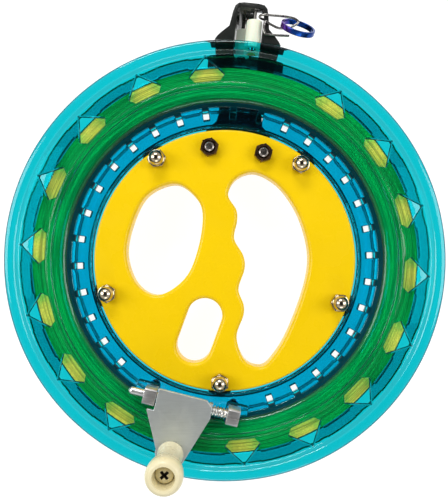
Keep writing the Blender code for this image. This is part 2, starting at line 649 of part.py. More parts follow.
def guide(finishes):
    frame = frame_at("guide_frame", GUIDE_ANGLE)
    bracket = new_mesh("guide_bracket", arm_mesh(), finishes["bracket"], frame)
    arch = new_mesh("guide_arch", prism(arch_outline(), *ARCH_Z), None, frame, hidden=True)
    combine(bracket, arch, "UNION")
    pillar = new_mesh("guide_pillar", box(*PILLAR_BOX), None, frame, hidden=True)
    combine(bracket, pillar, "UNION")
    cuts = [box(*CLIP_NECK_BOX)]
    gap = new_mesh("guide_gap", box(*ARCH_GAP_BOX), None, frame, hidden=True)
    combine(bracket, gap, "DIFFERENCE")
    for x, y in GUIDE_BOLTS:
        cuts.append(rod(BEARING_BORE, -6.0, 2.0, (x, y), 12))
    combine(bracket, new_mesh("guide_cuts", merged(cuts), None, frame, hidden=True), "DIFFERENCE")
    eyes = [lay_along(rod(LINE_EYE_RADIUS, 100.0, 109.0, steps=12), "X", (0, 0, MID_Z + 0.4))]
    for y, z in ROLLERS.values():
        hole = rod(ROLLER_PIN_RADIUS + GAP, 103.0, ROLLER_PIN_END + GAP, steps=10)
        eyes.append(lay_along(hole, "X", (0, y, z)))
    combine(bracket, new_mesh("guide_eyes", merged(eyes), None, frame, hidden=True), "DIFFERENCE")

    for number, (x, y) in enumerate(GUIDE_BOLTS, start=1):
        head_z = ARM_STATIONS[0][2] - ARM_THICKNESS - GAP
        bolt = upturned_bolt(GUIDE_BOLT_TOP, (x, y, head_z))
        new_mesh(f"guide_bolt_{number}", bolt, finishes["screw"], frame)
        nut = nut_mesh(NUT_ACROSS_FLATS, NUT_HEIGHT, NUT_BORE, GUIDE_NUT_TURN)
        place(nut, shift=(x, y, HUB_THICKNESS + GAP))
        new_mesh(f"guide_nut_{number}", nut, finishes["nut"], frame)

    inner, outer = ROLLER_SPAN
    bore = ROLLER_PIN_RADIUS + GAP
    roller_profile = (
        (bore, inner), (ROLLER_RADIUS - 0.3, inner), (ROLLER_RADIUS, inner + 0.3),
        (ROLLER_RADIUS, outer - 0.3), (ROLLER_RADIUS - 0.3, outer), (bore, outer),
    )
    head_radius, head_height = ROLLER_PIN_HEAD
    head_end = inner - GAP - head_height
    pin_profile = (
        (0.0, head_end), (head_radius, head_end), (head_radius, inner - GAP),
        (ROLLER_PIN_RADIUS, inner - GAP), (ROLLER_PIN_RADIUS, ROLLER_PIN_END),
        (0.0, ROLLER_PIN_END),
    )
    for place_name, (y, z) in ROLLERS.items():
        roller = lay_along(lathe(roller_profile, 20), "X", (0, y, z))
        new_mesh(f"guide_roller_{place_name}", roller, finishes["roller"], frame, (inner, y, z))
        pin = lay_along(lathe(pin_profile, 12, closed=False), "X", (0, y, z))
        new_mesh(f"guide_roller_pin_{place_name}", pin, finishes["screw"], frame)
    snap(finishes, frame)


def snap(finishes, frame):
    """The snap clip hooks round the arch's right leg; the ring hangs in its loop."""
    hook_x, hook_y, hook_z = CLIP_HOOK_AT
    hook = []
    for degrees in range(-100, 91, 19):
        angle = math.radians(degrees + 90.0)
        hook.append((
            hook_x,
            hook_y + CLIP_HOOK_RADIUS * math.sin(angle),
            hook_z - CLIP_HOOK_RADIUS * math.cos(angle),
        ))
    route = [(x, y, CLIP_Z) for x, y in CLIP_ROUTE]
    points = [*hook[:-1], *smooth_path([hook[-1], *route], 3)]
    wire("snap_clip", points, CLIP_WIRE, finishes["clip"], frame)

    along = Matrix.Rotation(math.radians(RING_AXIS_ANGLE), 4, "Z")
    tilt = Matrix.Rotation(math.radians(-RING_TILT), 4, "X")
    band = lathe(RING_PROFILE, 32)
    bmesh.ops.transform(band, matrix=Matrix.Translation(RING_CENTRE) @ along @ tilt,
                        verts=band.verts)
    new_mesh("ring", band, finishes["ring"], origin=RING_CENTRE)


def main():
    clear_scene()
    finishes = {
        "hub": material("yellow_plastic", (0.85, 0.60, 0.01), 0.35),
        "wheel": material("clear_blue_plastic", (0.02, 0.50, 0.62), 0.08, alpha=0.4),
        "line": material("braided_line", (0.42, 0.44, 0.03), 0.7),
        "screw": material("chrome_steel", (0.78, 0.74, 0.68), 0.15, 1.0),
        "nut": material("dark_steel", (0.25, 0.16, 0.10), 0.3, 1.0),
        "bearing": material("bearing_steel", (0.12, 0.12, 0.12), 0.3, 1.0),
        "lug": material("lug_steel", (0.50, 0.50, 0.48), 0.35, 1.0),
        "plate": material("brushed_steel", (0.58, 0.59, 0.59), 0.35, 1.0),
        "knob": material("ivory_plastic", (0.86, 0.78, 0.52), 0.4),
        "bracket": material("black_plastic", (0.02, 0.02, 0.02), 0.35),
        "roller": material("nylon", (0.80, 0.80, 0.66), 0.45),
        "clip": material("clip_wire", (0.25, 0.25, 0.24), 0.25, 1.0),
        "ring": material("anodised_ring", (0.03, 0.06, 0.42), 0.2, 1.0),
    }
    hub(finishes)
    wheel(finishes)
    crank(finishes)
    guide(finishes)


main()
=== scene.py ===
"""Looks for the hand-held line reel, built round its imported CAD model.

The reel lies on its back and +Z points at the camera. Lengths are in millimetres; piece() scales
every mesh to metres. Two turned frames, (radial, tangential, up), are used besides the world's:
CRANK for the folding crank on the wheel and GUIDE for the line guide.
"""

import json
import math

import bmesh
import bpy
from mathutils import Matrix, Vector, noise


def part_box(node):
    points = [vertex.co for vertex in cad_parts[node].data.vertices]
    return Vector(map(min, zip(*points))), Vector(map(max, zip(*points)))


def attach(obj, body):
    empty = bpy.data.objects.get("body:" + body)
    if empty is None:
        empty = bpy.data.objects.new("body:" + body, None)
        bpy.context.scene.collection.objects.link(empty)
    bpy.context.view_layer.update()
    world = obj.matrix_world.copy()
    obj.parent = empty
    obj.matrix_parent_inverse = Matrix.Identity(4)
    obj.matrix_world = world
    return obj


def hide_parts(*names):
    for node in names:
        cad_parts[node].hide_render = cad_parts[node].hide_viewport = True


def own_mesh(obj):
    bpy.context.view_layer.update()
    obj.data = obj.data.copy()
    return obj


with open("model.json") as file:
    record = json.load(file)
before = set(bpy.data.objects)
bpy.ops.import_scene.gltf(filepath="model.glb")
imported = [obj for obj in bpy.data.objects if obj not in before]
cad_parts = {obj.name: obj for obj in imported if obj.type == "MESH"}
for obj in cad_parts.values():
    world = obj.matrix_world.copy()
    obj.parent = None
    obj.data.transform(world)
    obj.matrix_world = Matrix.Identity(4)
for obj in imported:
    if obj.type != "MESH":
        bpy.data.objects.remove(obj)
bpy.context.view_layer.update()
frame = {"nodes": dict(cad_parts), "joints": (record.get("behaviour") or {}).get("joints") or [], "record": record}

MM = 0.001
RECORD = frame["record"]
BODY_OF = {
    node: body for body, nodes in RECORD["behaviour"]["bodies"].items() for node in nodes
}
JOINTS = {joint["name"]: joint for joint in frame["joints"]}


def span(node, axis):
    """Lowest and highest coordinate of a CAD node along axis 0, 1 or 2, in millimetres."""
    low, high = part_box(node)
    return low[axis] / MM, high[axis] / MM


def centre(node):
    low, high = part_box(node)
    return (low + high) / 2 / MM


def angle_of(vector):
    return math.degrees(math.atan2(vector[1], vector[0]))


# Places read from the CAD model
GAP = 0.3
HUB_RADIUS = span("hub_front_plate", 0)[1]
HUB_TOP = span("hub_front_plate", 2)[1]
MID_Z = HUB_TOP / 2
FLOOR_Z = span("guide_bracket", 2)[0]
BEARINGS = {number: centre(f"bearing_outer_ring_{number}") for number in range(1, 6)}
CRANK_ANGLE = angle_of(JOINTS["crank_fold"]["pos_m"])
GUIDE_ANGLE = angle_of(JOINTS["roller_front_spin"]["axis"])
CRANK = Matrix.Rotation(math.radians(CRANK_ANGLE), 4, "Z")
GUIDE = Matrix.Rotation(math.radians(GUIDE_ANGLE), 4, "Z")

# Hub
PALM_HOLE = (
    (-21.5, 32.4), (-13.2, 27.8), (-9.4, 19.8), (-11.2, 5.5), (-16.6, -7.2),
    (-27.6, -14.6), (-36.8, -10.4), (-41.4, 1.5), (-39.4, 14.5), (-33.0, 27.2),
)
FINGER_HOLE = (
    (12.0, 37.2), (4.6, 34.4), (1.4, 27.8), (4.9, 21.4), (5.2, 16.4), (4.0, 9.2), (7.8, 2.2),
    (8.4, -3.6), (5.8, -12.0), (7.9, -18.4), (7.9, -23.2), (5.0, -32.4), (8.4, -42.2),
    (15.6, -44.8), (21.2, -39.6), (26.8, -30.0), (33.2, -13.0), (35.6, 1.5), (32.4, 16.2),
    (26.6, 27.0), (20.0, 33.8),
)
LOCK_SLOT_ANGLE = 250.0
LOCK_SLOT_RADII = (24.8, 38.1)
LOCK_SLOT_HALF_WIDTH = 7.4
HOLE_ROUNDING = 1.6
RIM_ROUNDING = 0.9
POCKET_RADIUS = 6.9
POCKET_HALF_WIDTH = 2.8

# Bearings: (inner, outer) radii of the rings
OUTER_RING_RADII = (5.05, 6.5)
INNER_RING_RADII = (2.2, 3.6)
BEARING_HALF_WIDTH = 2.5
SHIELD_INNER_RADIUS = 3.8

# Fasteners
NUT_ACROSS_FLATS = 7.0
NUT_HEIGHT = 3.2
DOME_RADIUS = 3.1
DOME_TOP = 7.7
CAP_NUT_TURNS = (30.0, 8.0, 30.0, 30.0, -4.0)
GUIDE_NUT_TURN = -9.0
HEAD_RADIUS = 3.5
HEAD_HEIGHT = 2.6
SCREW_RADIUS = 1.9
THREAD_PITCH = 0.7
THREAD_DEPTH = 0.3
LUG_SCREW_RADIUS = 1.2
LUG_SCREW_HEAD = (2.3, 1.8)  # radius, height
KNOB_SCREW_RADIUS = 1.5
KNOB_SCREW_HEAD = (3.4, 2.2)
KNOB_SCREW_TURN = 56.0
KNOB_NUT_ACROSS_FLATS = 5.5
KNOB_NUT_HEIGHT = 2.0

# Wheel half: corners (radius, height above MID_Z, rounding)
HALF_CORNERS = (
    (57.8, 0.15, 0.0), (57.8, 2.8, 0.3), (55.8, 2.8, 0.3), (55.8, 4.6, 0.4), (64.8, 4.6, 0.6),
    (65.0, 11.2, 3.0), (71.0, 11.2, 0.3), (71.4, 12.0, 0.35), (73.0, 12.0, 0.35),
    (73.4, 11.0, 0.3), (84.6, 11.0, 0.8), (86.2, 12.95, 1.4), (90.3, 13.0, 1.3),
    (90.3, 8.6, 0.5), (66.4, 8.6, 3.4), (66.4, 0.15, 0.0),
)
WHEEL_STEPS = 216
SLOT_COUNT = 34
SLOT_FIRST_ANGLE = 256.2
SLOT_WIDTH = 2.5
SLOT_RADII = {"front": (59.8, 64.4), "rear": (60.6, 65.4)}
SLOT_LEVELS = ((-1.0, 0.0), (4.2, 0.0), (4.65, 0.3), (6.6, 0.3))  # (above MID_Z, widening)
SLOTS_SKIPPED = range(-2, 3)  # between and beside the crank's pads
FLANGE_HOLE_COUNT = 18
FLANGE_HOLE_FIRST_ANGLE = 75.5  # this place of the 18 has no hole
FLANGE_HOLE_LEVELS = ((7.5, 0.0), (10.5, 0.0), (11.05, 0.4), (12.6, 0.4))
FLANGE_HOLE = ((74.0, -5.2), (76.4, -7.3), (84.4, 0.0), (76.4, 7.3), (74.0, 5.2))

# Wound line
WINDING = (
    (66.7, 4.6), (67.6, 6.9), (69.3, 8.1), (79.8, 8.2), (79.8, -8.2), (69.3, -8.1),
    (67.6, -6.9), (66.7, -4.6),
)
STRAND_PITCH = 0.72
STRAND_DIP = 0.42  # of the pitch
STRAND_WANDER = 0.12

# Crank, in the CRANK frame
PIN_AT = (60.5, 17.8)
PIN_RADIUS = 1.6
PIN_ENDS = (-25.2, 20.9)
LUG_SPANS = {"left": (-18.6, -13.5), "right": (16.1, 21.1)}
LUG_HALF_LENGTH = 3.3
LUG_CHAMFER = 0.6
LUG_LINE_DEPTH = 0.5  # the groove across the right lug's top
LUG_SEAT = (57.0, 64.3)  # the recess for a lug in its pad and the wheel's shoulder
LUG_SCREW_AT = 59.3
PAD_SPANS = ((-23.0, -13.4), (15.4, 24.6))
PAD_RADII = (56.8, 66.0)
PAD_FOOT = 4.0  # above MID_Z, inside the wheel's ring
PAD_TOP = 13.6
PLATE_Z = (20.0, 21.6)
PLATE_END_RADIUS = 6.2
PLATE_EYE_RADIUS = 1.8
PLATE_CORNERS = (
    (65.3, -16.2, 0.5), (65.3, -13.1, 0.4), (56.4, -13.1, 0.4), (56.4, 7.0, 0.6),
    (58.6, 9.4, 0.8), (63.2, 9.8, 1.2),
)
PLATE_END_ANGLES = (78.0, -94.0)
EAR_SPANS = ((-12.6, -11.2), (8.2, 9.6))
EAR_CORNERS = (  # (across the pin, height, rounding)
    (-3.1, 20.8, 0.3), (3.1, 20.8, 0.3), (3.1, 17.0, 1.8), (1.6, 15.0, 1.4), (-1.6, 15.0, 1.4),
    (-3.1, 17.0, 1.8),
)
KNOB_AT = (80.6, -2.3)
KNOB_PROFILE = (
    (5.1, 0.0), (5.25, 1.0), (4.75, 5.0), (4.7, 10.0), (5.5, 15.5), (6.6, 20.6), (7.05, 25.2),
    (6.75, 27.6), (5.7, 28.9), (4.7, 29.0), (4.15, 28.5), (4.05, 25.0),
)
KNOB_BORE = 1.9
KNOB_FLOOR = 22.6
KNOB_RECESS = ((3.85, 1.2), (3.62, 0.4), (3.5, 0.0))  # (radius, height above KNOB_FLOOR)
SPRING_COILS = 4.5
SPRING_RADIUS = 2.15
SPRING_WIRE = 0.25

# Rollers, in the GUIDE frame
ROLLER_LENGTH = 11.7
ROLLER_RADIUS = 3.25
ROLLER_BORE = 1.0
ROLLER_PIN_RADIUS = 0.7
ROLLER_PIN_HEAD_RADIUS = 1.9
ROLLER_PIN_END = 106.3

# Snap clip and ring, in the GUIDE frame
CLIP_Z = 14.4
CLIP_WIRE = 0.5
CLIP_HOOK_AT = (102.7, -6.45, 11.75)
CLIP_HOOK_RADIUS = 2.65
CLIP_ROUTE = (
    (102.75, -10.5), (102.8, -14.4), (102.4, -18.0), (101.2, -19.9), (99.7, -18.7),
    (98.4, -16.2), (97.8, -12.2), (98.9, -8.8), (99.9, -6.5), (97.5, -5.9), (94.9, -7.0),
    (94.7, -10.3), (95.0, -16.6),
)
RING_RADII = (6.25, 7.25)
RING_HALF_WIDTH = 1.1
RING_AXIS_ANGLE = -18.5
RING_TILT = 53.0

# Studio, in metres
FLOOR_REACH = 1.5
CAMERA_HEIGHT = 0.273


# ---------------------------------------------------------------- shapes

def circle(radius, steps, at=(0.0, 0.0), first=0.0):
    angles = [math.radians(first) + math.tau * index / steps for index in range(steps)]
    return [Vector((at[0] + radius * math.cos(a), at[1] + radius * math.sin(a))) for a in angles]


def smooth_loop(points, samples):
    """A closed Catmull-Rom curve through points."""
    knots = [Vector(point) for point in points]
    count = len(knots)
    return [
        blend_knots([knots[(index + step) % count] for step in (-1, 0, 1, 2)], sample / samples)
        for index in range(count)
        for sample in range(samples)
    ]


def smooth_path(points, samples):
    """An open Catmull-Rom curve through points."""
    knots = [Vector(point) for point in points]
    knots = [2 * knots[0] - knots[1], *knots, 2 * knots[-1] - knots[-2]]
    path = [
        blend_knots(knots[index - 1:index + 3], sample / samples)
        for index in range(1, len(knots) - 2)
        for sample in range(samples)
    ]
    return [*path, knots[-2]]


def blend_knots(knots, t):
    before, start, end, after = knots
    return 0.5 * (
        2 * start + (end - before) * t + (2 * before - 5 * start + 4 * end - after) * t ** 2
        + (3 * start - before - 3 * end + after) * t ** 3
    )


def rounded(corners, steps=5):
    """A closed outline of (x, y, rounding) corners with each corner rounded."""
    outline = []
    for index, (x, y, radius) in enumerate(corners):
        here = Vector((x, y))
        if radius == 0.0:
            outline.append(here)
            continue
        before = Vector(corners[index - 1][:2]) - here
        after = Vector(corners[(index + 1) % len(corners)][:2]) - here
        reach = radius / math.tan(before.angle(after) / 2)
        reach = min(reach, before.length * 0.49, after.length * 0.49)
        start = here + before.normalized() * reach
        end = here + after.normalized() * reach
        fine = steps * 2 if radius > 2.0 else steps
        for step in range(fine + 1):
            t = step / fine
            outline.append(start * (1 - t) ** 2 + here * (2 * t * (1 - t)) + end * t ** 2)
    return outline


def with_rounding(points, radius):
    return [(*point, radius) for point in points]


def rectangle(across, along):
    """The four corners of a rectangle, from its two (low, high) spans."""
    return [(across[0], along[0]), (across[1], along[0]), (across[1], along[1]),
            (across[0], along[1])]


def grown(outline, distance):
    """An outline moved outwards by distance, whichever way its points run."""
    count = len(outline)
    area = sum(
        outline[i - 1][0] * outline[i][1] - outline[i][0] * outline[i - 1][1]
        for i in range(count)
    )
    side = distance if area > 0 else -distance
    moved = []
    for index, point in enumerate(outline):
        along = (outline[(index + 1) % count] - outline[index - 1]).normalized()
        moved.append(Vector((point[0] + side * along.y, point[1] - side * along.x)))
    return moved


def at_height(outline, z):
    return [(point[0], point[1], z) for point in outline]


def join(bm, lower, upper):
    """Quads between two closed rings of equally many vertices."""
    for index in range(len(lower)):
        follow = (index + 1) % len(lower)
        bm.faces.new((lower[index], lower[follow], upper[follow], upper[index]))


def skin(rings, wrap=False):
    """A surface through rings of points, capped, or wrapped from its last ring to its first."""
    bm = bmesh.new()
    loops = [[bm.verts.new(point) for point in ring] for ring in rings]
    pairs = list(zip(loops, loops[1:]))
    if wrap:
        pairs.append((loops[-1], loops[0]))
    for lower, upper in pairs:
        join(bm, lower, upper)
    if not wrap:
        bm.faces.new(loops[0])
        bm.faces.new(loops[-1])
    return bm


def lathe(profile, steps=64, wrap=False):
    """Turns (radius, height) points about Z; an open profile is capped at both ends."""
    return skin([at_height(circle(radius, steps), z) for radius, z in profile], wrap)


def slab(outline, low, high, edge=0.3, steps=3):
    """An outline extruded from low to high with rounded edges, smaller than its corners'."""
    levels = [(low, -edge * 1.15)]
    for step in range(steps + 1):
        turn = math.pi / 2 * step / steps
        levels.append((low + edge * (1 - math.sin(turn)), -edge * (1 - math.cos(turn))))
    levels[1:] = sorted(levels[1:])
    top = [(low + high - z, inset) for z, inset in reversed(levels)]
    return skin([at_height(grown(outline, inset), z) for z, inset in (*levels, *top)])


def turned(bm, matrix):
    bmesh.ops.transform(bm, matrix=matrix, verts=bm.verts)
    return bm


def along_y(bm):
    """Turns +Z to +Y, so that a height becomes a tangential place and -Y becomes up."""
    return turned(bm, Matrix(((1, 0, 0, 0), (0, 0, 1, 0), (0, -1, 0, 0), (0, 0, 0, 1))))


def along_x(bm, y=0.0, z=0.0):
    return turned(bm, Matrix(((0, 0, 1, 0), (0, 1, 0, y), (-1, 0, 0, z), (0, 0, 0, 1))))


def merged(pieces):
    whole = bmesh.new()
    for bm in pieces:
        holder = bpy.data.meshes.new("holder")
        bm.to_mesh(holder)
        bm.free()
        whole.from_mesh(holder)
        bpy.data.meshes.remove(holder)
    return whole


def tube(path, radius, sides=10):
    """A round wire along a path of 3-D points, with rounded ends."""
    rings = []
    count = len(path)
    side = None
    for index, point in enumerate(path):
        along = path[min(index + 1, count - 1)] - path[max(index - 1, 0)]
        along.normalize()
        side = along.orthogonal() if side is None else side - along * side.dot(along)
        side.normalize()
        across = along.cross(side)
        rings.append([
            point + radius * (side * math.cos(turn) + across * math.sin(turn))
            for turn in [math.tau * step / sides for step in range(sides)]
        ])
    for end, ring, out in ((path[0], rings[0], -1), (path[-1], rings[-1], 1)):
        along = (path[1] - path[0] if out < 0 else path[-1] - path[-2]).normalized()
        tip = [end + (point - end) * 0.55 + along * out * radius * 0.45 for point in ring]
        rings.insert(0 if out < 0 else len(rings), tip)
    return skin(rings)


# ---------------------------------------------------------------- objects

def finish_mesh(obj, sharp=35.0):
    obj.data.shade_smooth()
    obj.data.set_sharp_from_angle(angle=math.radians(sharp))
    return obj


def piece(name, bm, finish, *nodes, body=None, sharp=35.0):
    """A visible piece that stands for its CAD nodes, or that only rides on a body."""
    bmesh.ops.scale(bm, vec=(MM, MM, MM), verts=bm.verts)
    bmesh.ops.recalc_face_normals(bm, faces=bm.faces)
    mesh = bpy.data.meshes.new(name)
    bm.to_mesh(mesh)
    bm.free()
    mesh.materials.append(finish)
    obj = bpy.data.objects.new(name, mesh)
    bpy.context.scene.collection.objects.link(obj)
    finish_mesh(obj, sharp)
    if nodes:
        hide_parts(*nodes)
    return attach(obj, body or BODY_OF[nodes[0]])


def bake(obj, sharp=35.0):
    """Applies an object's modifiers to its mesh."""
    graph = bpy.context.evaluated_depsgraph_get()
    obj.data = bpy.data.meshes.new_from_object(obj.evaluated_get(graph))
    obj.modifiers.clear()
    return finish_mesh(obj, sharp)


def combine(obj, bm, operation="DIFFERENCE", sharp=35.0, finish=None):
    """Cuts bm from obj, or joins it to obj; a finish goes on the faces that the cut leaves."""
    bmesh.ops.scale(bm, vec=(MM, MM, MM), verts=bm.verts)
    bmesh.ops.recalc_face_normals(bm, faces=bm.faces)
    mesh = bpy.data.meshes.new("tool")
    bm.to_mesh(mesh)
    bm.free()
    if finish:
        mesh.materials.append(finish)
    tool = bpy.data.objects.new("tool", mesh)
    bpy.context.scene.collection.objects.link(tool)
    modifier = obj.modifiers.new("combine", "BOOLEAN")
    modifier.operation = operation
    modifier.solver = "EXACT"
    modifier.material_mode = "TRANSFER" if finish else "INDEX"
    modifier.object = tool
    bpy.context.view_layer.update()
    bake(obj, sharp)
    bpy.data.objects.remove(tool)
    return obj


def bevel(obj, width, segments=3, sharp=35.0, limit=35.0):
    modifier = obj.modifiers.new("bevel", "BEVEL")
    modifier.width = width * MM
    modifier.segments = segments
    modifier.limit_method = "ANGLE"
    modifier.angle_limit = math.radians(limit)
    bpy.context.view_layer.update()
    return bake(obj, sharp)


# ---------------------------------------------------------------- materials

def node_tools(name):
    made = bpy.data.materials.new(name)
    made.use_nodes = True
    return made, made.node_tree.nodes, made.node_tree.links


def noise_field(nodes, links, scale, stretch=(1.0, 1.0, 1.0), turn=0.0, detail=3.0):
    place = nodes.new("ShaderNodeTexCoord")
    mapping = nodes.new("ShaderNodeMapping")
    mapping.inputs["Rotation"].default_value = (0.0, 0.0, math.radians(turn))
    mapping.inputs["Scale"].default_value = stretch
    field = nodes.new("ShaderNodeTexNoise")
    field.inputs["Scale"].default_value = scale
    field.inputs["Detail"].default_value = detail
    links.new(place.outputs["Object"], mapping.inputs["Vector"])
    links.new(mapping.outputs["Vector"], field.inputs["Vector"])
    return field.outputs["Fac"]


def to_range(nodes, links, value, low, high, start=0.3, end=0.7):
    spread = nodes.new("ShaderNodeMapRange")
    spread.inputs["From Min"].default_value = start
    spread.inputs["From Max"].default_value = end
    spread.inputs["To Min"].default_value = low
    spread.inputs["To Max"].default_value = high
    links.new(value, spread.inputs["Value"])
    return spread.outputs["Result"]


def blended(nodes, links, first, second, share):
    """Two colours, each fixed or from a socket, mixed by a share from a socket."""
    mix = nodes.new("ShaderNodeMix")
    mix.data_type = "RGBA"
    for socket, colour in (("A", first), ("B", second)):
        if isinstance(colour, tuple):
            mix.inputs[socket].default_value = (*colour, 1.0)
        else:
            links.new(colour, mix.inputs[socket])
    links.new(share, mix.inputs["Factor"])
    return mix.outputs["Result"]


def axis_distance(nodes, links, place):
    """Distance from the wheel's axis, in metres."""
    flat = nodes.new("ShaderNodeVectorMath")
    flat.operation = "MULTIPLY"
    flat.inputs[1].default_value = (1.0, 1.0, 0.0)
    away = nodes.new("ShaderNodeVectorMath")
    away.operation = "LENGTH"
    links.new(place, flat.inputs[0])
    links.new(flat.outputs["Vector"], away.inputs[0])
    return away.outputs["Value"]


def surface(name, colours, roughness, metallic=0.0, grain=300.0, stretch=(1.0, 1.0, 1.0),
            turn=0.0, bump=0.0, bump_grain=1500.0, sockets=()):
    """A Principled material whose colour, roughness and bump vary with noise."""
    made, nodes, links = node_tools(name)
    shader = nodes["Principled BSDF"]
    shader.inputs["Metallic"].default_value = metallic
    for socket, value in dict(sockets).items():
        shader.inputs[socket].default_value = value
    field = noise_field(nodes, links, grain, stretch, turn)
    share = to_range(nodes, links, field, 0.0, 1.0)
    links.new(blended(nodes, links, *colours, share), shader.inputs["Base Color"])
    rough_field = noise_field(nodes, links, grain * 2.3, stretch, turn)
    links.new(to_range(nodes, links, rough_field, *roughness), shader.inputs["Roughness"])
    if bump:
        relief = nodes.new("ShaderNodeBump")
        relief.inputs["Strength"].default_value = 1.0
        relief.inputs["Distance"].default_value = bump * MM
        fine = noise_field(nodes, links, bump_grain, stretch, turn, 2.0)
        links.new(fine, relief.inputs["Height"])
        links.new(relief.outputs["Normal"], shader.inputs["Normal"])
    return made


def clear_plastic(name, colour, outer_colour, shadow_colour, wall_shade_colour, wall_shade_share):
    """Clear tinted plastic with painted shade on its walls, which go darker than its flat faces.

    The colour goes over to outer_colour towards the rim. The walls' painted shade stands in for
    the darkness that refraction gives steep clear walls: the base colour goes towards a near-black
    copy of the colour, and a dark diffuse wall colour is mixed in, as far as the wall share says.
    Shadow rays pass straight through, so that light reaches inside.
    """
    made, nodes, links = node_tools(name)
    shader = nodes["Principled BSDF"]
    shader.inputs["Transmission Weight"].default_value = 1.0
    shader.inputs["IOR"].default_value = 1.47
    place = nodes.new("ShaderNodeTexCoord")
    facing_up = nodes.new("ShaderNodeSeparateXYZ")
    links.new(place.outputs["Normal"], facing_up.inputs["Vector"])
    level = nodes.new("ShaderNodeMath")
    level.operation = "ABSOLUTE"
    links.new(facing_up.outputs["Z"], level.inputs[0])

    field = noise_field(nodes, links, 60.0)
    paler = tuple(channel * 0.93 for channel in colour)
    # painted shade: steep walls go towards this near-black copy of the colour
    painted_wall_shade = tuple(channel * 0.10 for channel in colour)
    patchy = blended(nodes, links, colour, paler, to_range(nodes, links, field, 0.0, 1.0))
    away = axis_distance(nodes, links, place.outputs["Object"])
    outwards = to_range(nodes, links, away, 0.0, 1.0, 0.066, 0.080)
    tinted = blended(nodes, links, patchy, outer_colour, outwards)
    steep_wall_shade = to_range(nodes, links, level.outputs["Value"], wall_shade_share, 0.0, 0.34, 0.80)
    links.new(blended(nodes, links, tinted, painted_wall_shade, steep_wall_shade), shader.inputs["Base Color"])
    links.new(to_range(nodes, links, field, 0.01, 0.035), shader.inputs["Roughness"])

    # painted shade: a dark diffuse surface is mixed in on upright walls
    wall_shade_bsdf = nodes.new("ShaderNodeBsdfDiffuse")
    wall_shade_bsdf.inputs["Color"].default_value = (*wall_shade_colour, 1.0)
    passing = nodes.new("ShaderNodeBsdfTransparent")
    passing.inputs["Color"].default_value = (*shadow_colour, 1.0)
    rays = nodes.new("ShaderNodeLightPath")
    upright_wall_shade = to_range(nodes, links, level.outputs["Value"], wall_shade_share, 0.0, 0.38, 0.70)
    mixed = shader.outputs["BSDF"]
    for share, other in ((upright_wall_shade, wall_shade_bsdf), (rays.outputs["Is Shadow Ray"], passing)):
        either = nodes.new("ShaderNodeMixShader")
        links.new(share, either.inputs["Fac"])
        links.new(mixed, either.inputs[1])
        links.new(other.outputs["BSDF"], either.inputs[2])
        mixed = either.outputs["Shader"]
    links.new(mixed, nodes["Material Output"].inputs["Surface"])
    return made


def make_materials():
    return {**plastics(), **metals(), "line": braided_line(), "ring": anodised()}


def plastics():
    return {
        "hub": surface(
            "yellow_abs", ((0.84, 0.56, 0.003), (0.80, 0.53, 0.002)), (0.24, 0.32), grain=45.0,
            bump=0.004, bump_grain=1400.0, sockets={"Specular IOR Level": 0.25}),
        # painted shade on the walls: each clear plastic's last two values are the wall colour and how far it goes,
        # strong on the front half and slight on the rear
        "wheel": clear_plastic(
            "clear_cyan_plastic", (0.010, 0.64, 0.82), (0.004, 0.51, 0.58), (0.22, 0.85, 0.92),
            (0.002, 0.05, 0.065), 0.85),
        "wheel_rear": clear_plastic(
            "clear_cyan_plastic_rear", (0.010, 0.64, 0.82), (0.004, 0.53, 0.60),
            (0.22, 0.85, 0.92), (0.002, 0.05, 0.065), 0.10),
        "knob": surface(
            "ivory_plastic", ((0.80, 0.72, 0.46), (0.76, 0.68, 0.43)), (0.24, 0.34),
            grain=120.0),
        "bracket": surface(
            "black_nylon", ((0.014, 0.015, 0.014), (0.022, 0.023, 0.021)), (0.12, 0.22),
            bump=0.012, bump_grain=900.0),
        # painted light: a faint warm glow (emission) keeps the rollers bright where the bracket and rim shade them
        "roller": surface(
            "milky_nylon_painted_glow", ((0.66, 0.67, 0.54), (0.62, 0.63, 0.50)), (0.32, 0.45), grain=200.0,
            bump=0.005, sockets={"Subsurface Weight": 0.25, "Subsurface Scale": 0.002,
                                 "Emission Color": (0.86, 0.90, 0.76, 1.0),
                                 "Emission Strength": 0.22}),
    }


